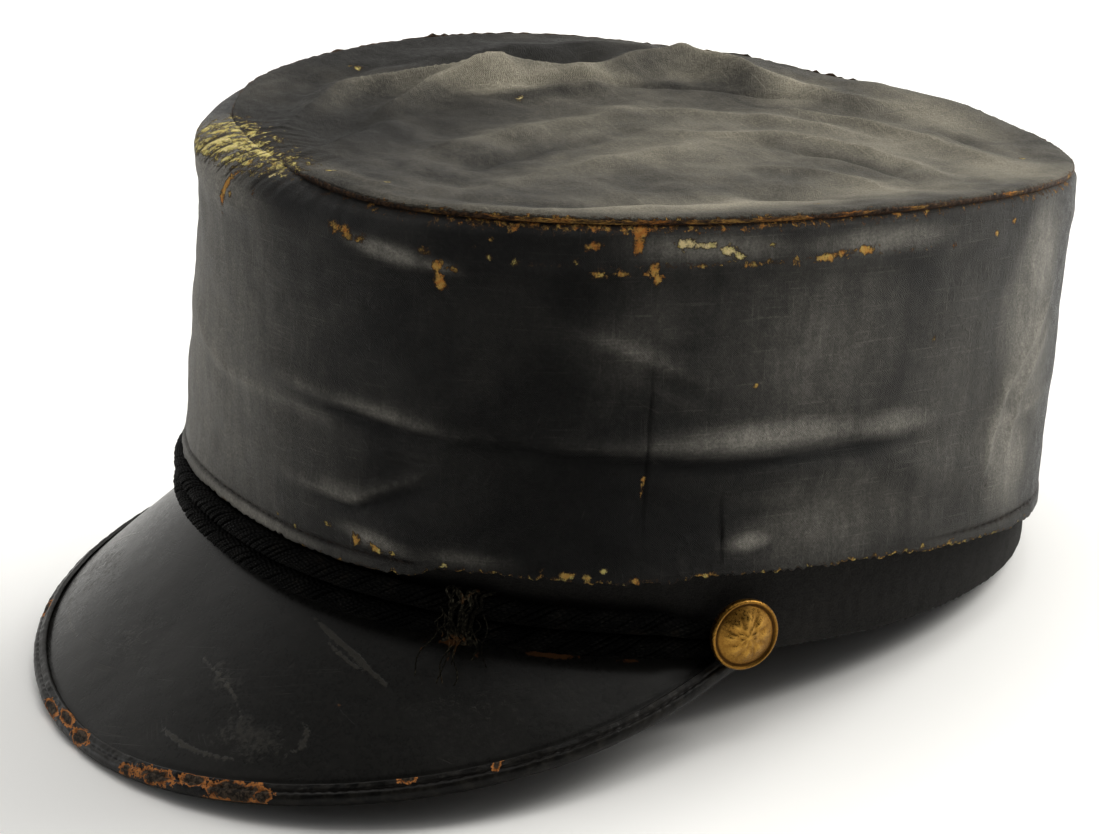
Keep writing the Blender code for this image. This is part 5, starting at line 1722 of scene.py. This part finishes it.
def make_brass():
    """Brass: gilt worn bright on the relief, brown in its hollows, with fine pitting."""
    material, tree = new_material("tarnished_brass")
    grain = use("grain", Vector=object_place(tree), Size=0.0006)
    groove = measure(tree, "groove")
    shown = ease(grain["Fine"] * 0.6 + measure(tree, "relief"), 0.15, 0.72)
    colour = tint(shown, (0.165, 0.076, 0.013), (0.480, 0.262, 0.052))
    colour = tint(ease(grain["Broad"], 0.50, 0.70, 0.0, 0.55), colour, (0.40, 0.22, 0.055))
    colour = tint(ease(grain["Middle"], 0.58, 0.72, 0.0, 0.5), colour, (0.13, 0.065, 0.020))
    colour = tint(groove * 0.85, colour, (0.060, 0.028, 0.010))
    gloss = groove * 0.3 + ease(grain["Fine"], 0.35, 0.7, 0.24, 0.46)
    return finish(material, colour, gloss, grain["Height"], 0.00008, 0.5, Metallic=1.0)


def make_floor_surface():
    """A pale matt surface with the faintest unevenness."""
    material, tree = new_material("pale_floor")
    patches = noise(object_place(tree), 9.0, 3.0, 0.5)
    colour = tint(patches, (0.88, 0.88, 0.875), (0.92, 0.92, 0.915))
    fill(tree.nodes["Principled BSDF"], {"Base Color": colour, "Roughness": 0.9})
    return material


def add_floor():
    mesh = bpy.data.meshes.new("floor")
    half = 6.0
    corners = [(-half, -half, 0.0), (half, -half, 0.0), (half, half, 0.0), (-half, half, 0.0)]
    mesh.from_pydata(corners, [], [(0, 1, 2, 3)])
    mesh.materials.append(make_floor_surface())
    floor = bpy.data.objects.new("floor", mesh)
    bpy.context.scene.collection.objects.link(floor)


def way(turn, rise):
    """The direction at a turn and a rise round the cap."""
    turn = math.radians(turn)
    rise = math.radians(rise)
    return Vector((math.sin(turn) * math.cos(rise), -math.cos(turn) * math.cos(rise), math.sin(rise)))


def add_camera():
    """The camera, looking from its turn and rise at its aim, rolled a little."""
    roll = math.radians(CAMERA_ROLL)
    back = way(CAMERA_TURN, CAMERA_RISE)
    level = way(CAMERA_TURN + 90.0, 0.0)
    upright = back.cross(level)
    right = level * math.cos(roll) + upright * math.sin(roll)
    above = upright * math.cos(roll) - level * math.sin(roll)
    stand = Matrix((right, above, back)).transposed().to_4x4()
    stand.translation = Vector(CAMERA_AIM) + back * CAMERA_DISTANCE
    camera = bpy.data.cameras.new("camera")
    camera.sensor_width = 36.0
    camera.lens = CAMERA_LENS
    camera.clip_start = 0.05
    holder = bpy.data.objects.new("camera", camera)
    holder.matrix_world = REST @ stand
    bpy.context.scene.collection.objects.link(holder)
    bpy.context.scene.camera = holder


def add_softbox(name, turn, rise, distance, size, power, colour):
    """A soft rectangular light at a turn and a rise round the cap, facing it."""
    light = bpy.data.lights.new(name, "AREA")
    light.shape = "RECTANGLE"
    light.size, light.size_y = size
    light.energy = power
    light.color = colour
    holder = bpy.data.objects.new(name, light)
    holder.location = Vector((0.0, 0.0, 0.05)) + way(turn, rise) * distance
    holder.rotation_euler = way(turn, rise).to_track_quat("Z", "Y").to_euler()
    bpy.context.scene.collection.objects.link(holder)


def add_surroundings():
    """Pale surroundings that are brighter behind the cap and to its right, and dimmer towards the front."""
    world = bpy.data.worlds.new("studio")
    world.use_nodes = True
    tree = world.node_tree
    out = place(tree, "ShaderNodeTexCoord", {}).outputs["Generated"]
    values = {0: Value(out), 1: BRIGHT_WAY}
    facing = Value(place(tree, "ShaderNodeVectorMath", values, operation="DOT_PRODUCT").outputs["Value"])
    strength = ease(facing, -0.35, 0.85, WORLD_DIM, WORLD_BRIGHT)
    fill(tree.nodes["Background"], {"Color": (1.0, 0.985, 0.95), "Strength": strength})
    bpy.context.scene.world = world


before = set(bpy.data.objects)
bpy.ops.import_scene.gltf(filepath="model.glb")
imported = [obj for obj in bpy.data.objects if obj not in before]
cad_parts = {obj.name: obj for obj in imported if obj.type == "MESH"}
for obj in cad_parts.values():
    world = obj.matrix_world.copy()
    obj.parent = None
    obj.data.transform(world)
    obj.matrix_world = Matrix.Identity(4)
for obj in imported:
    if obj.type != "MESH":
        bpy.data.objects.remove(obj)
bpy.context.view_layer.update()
make_grain()
make_weave()
make_wear()
make_scratches()
# Tip paler than wall: partly dust and wear, partly painted light on the tip and painted shade on the wall.
wall_cloth = make_oilcloth(
    "oilcloth_of_the_wall", (0.0007, 0.0007, 0.0007), (0.0120, 0.0116, 0.0104), (0.295, 0.280, 0.246),
    specular=0.12, roughness=0.34, speckle=0.19, drawn=0.14, unworn=0.0,
)
tip_cloth = make_oilcloth(
    "oilcloth_of_the_tip", (0.0110, 0.0104, 0.0090), (0.077, 0.0715, 0.0605), (0.372, 0.341, 0.266),
    specular=0.07, roughness=0.50, speckle=0.10, drawn=0.05, unworn=-0.12,
)
# Pale colour: painted sheen on the cords; the threads' own olive and painted sheen on the slides.
cord_yarn = make_mohair(
    "mohair_of_the_cords", (0.0005, 0.0005, 0.0005), (0.0170, 0.0164, 0.0146), (0.0070, 0.0052, 0.0036),
)
slide_yarn = make_mohair(
    "mohair_of_the_slides", (0.0034, 0.0030, 0.0022), (0.110, 0.100, 0.068), (0.110, 0.046, 0.014),
)
brass = make_brass()
add_crown_wall(wall_cloth)
add_crown_top(tip_cloth)
add_seam(make_seam_cloth())
add_band(make_wool())
add_peak(make_peak_leather())
add_binding(make_rim_leather())
add_cord("mohair_cord_lower", 0, cord_yarn, "braid_lower")
add_cord("mohair_cord_upper", 1, cord_yarn, "braid_upper")
add_keeper("cord_slide_left", KEEPER_TURN, True, slide_yarn, "keeper_left")
add_keeper("cord_slide_right", -KEEPER_TURN, False, slide_yarn, "keeper_right")
add_button("brass_button_left", BUTTON_TURN, brass, "button_left")
add_button("brass_button_right", -BUTTON_TURN, brass, "button_right")
add_floor()
add_camera()
for name, light in LIGHTS.items():
    add_softbox(name, *light)
add_surroundings()
bpy.context.scene.view_settings.view_transform = "Standard"
bpy.context.scene.view_settings.look = "None"
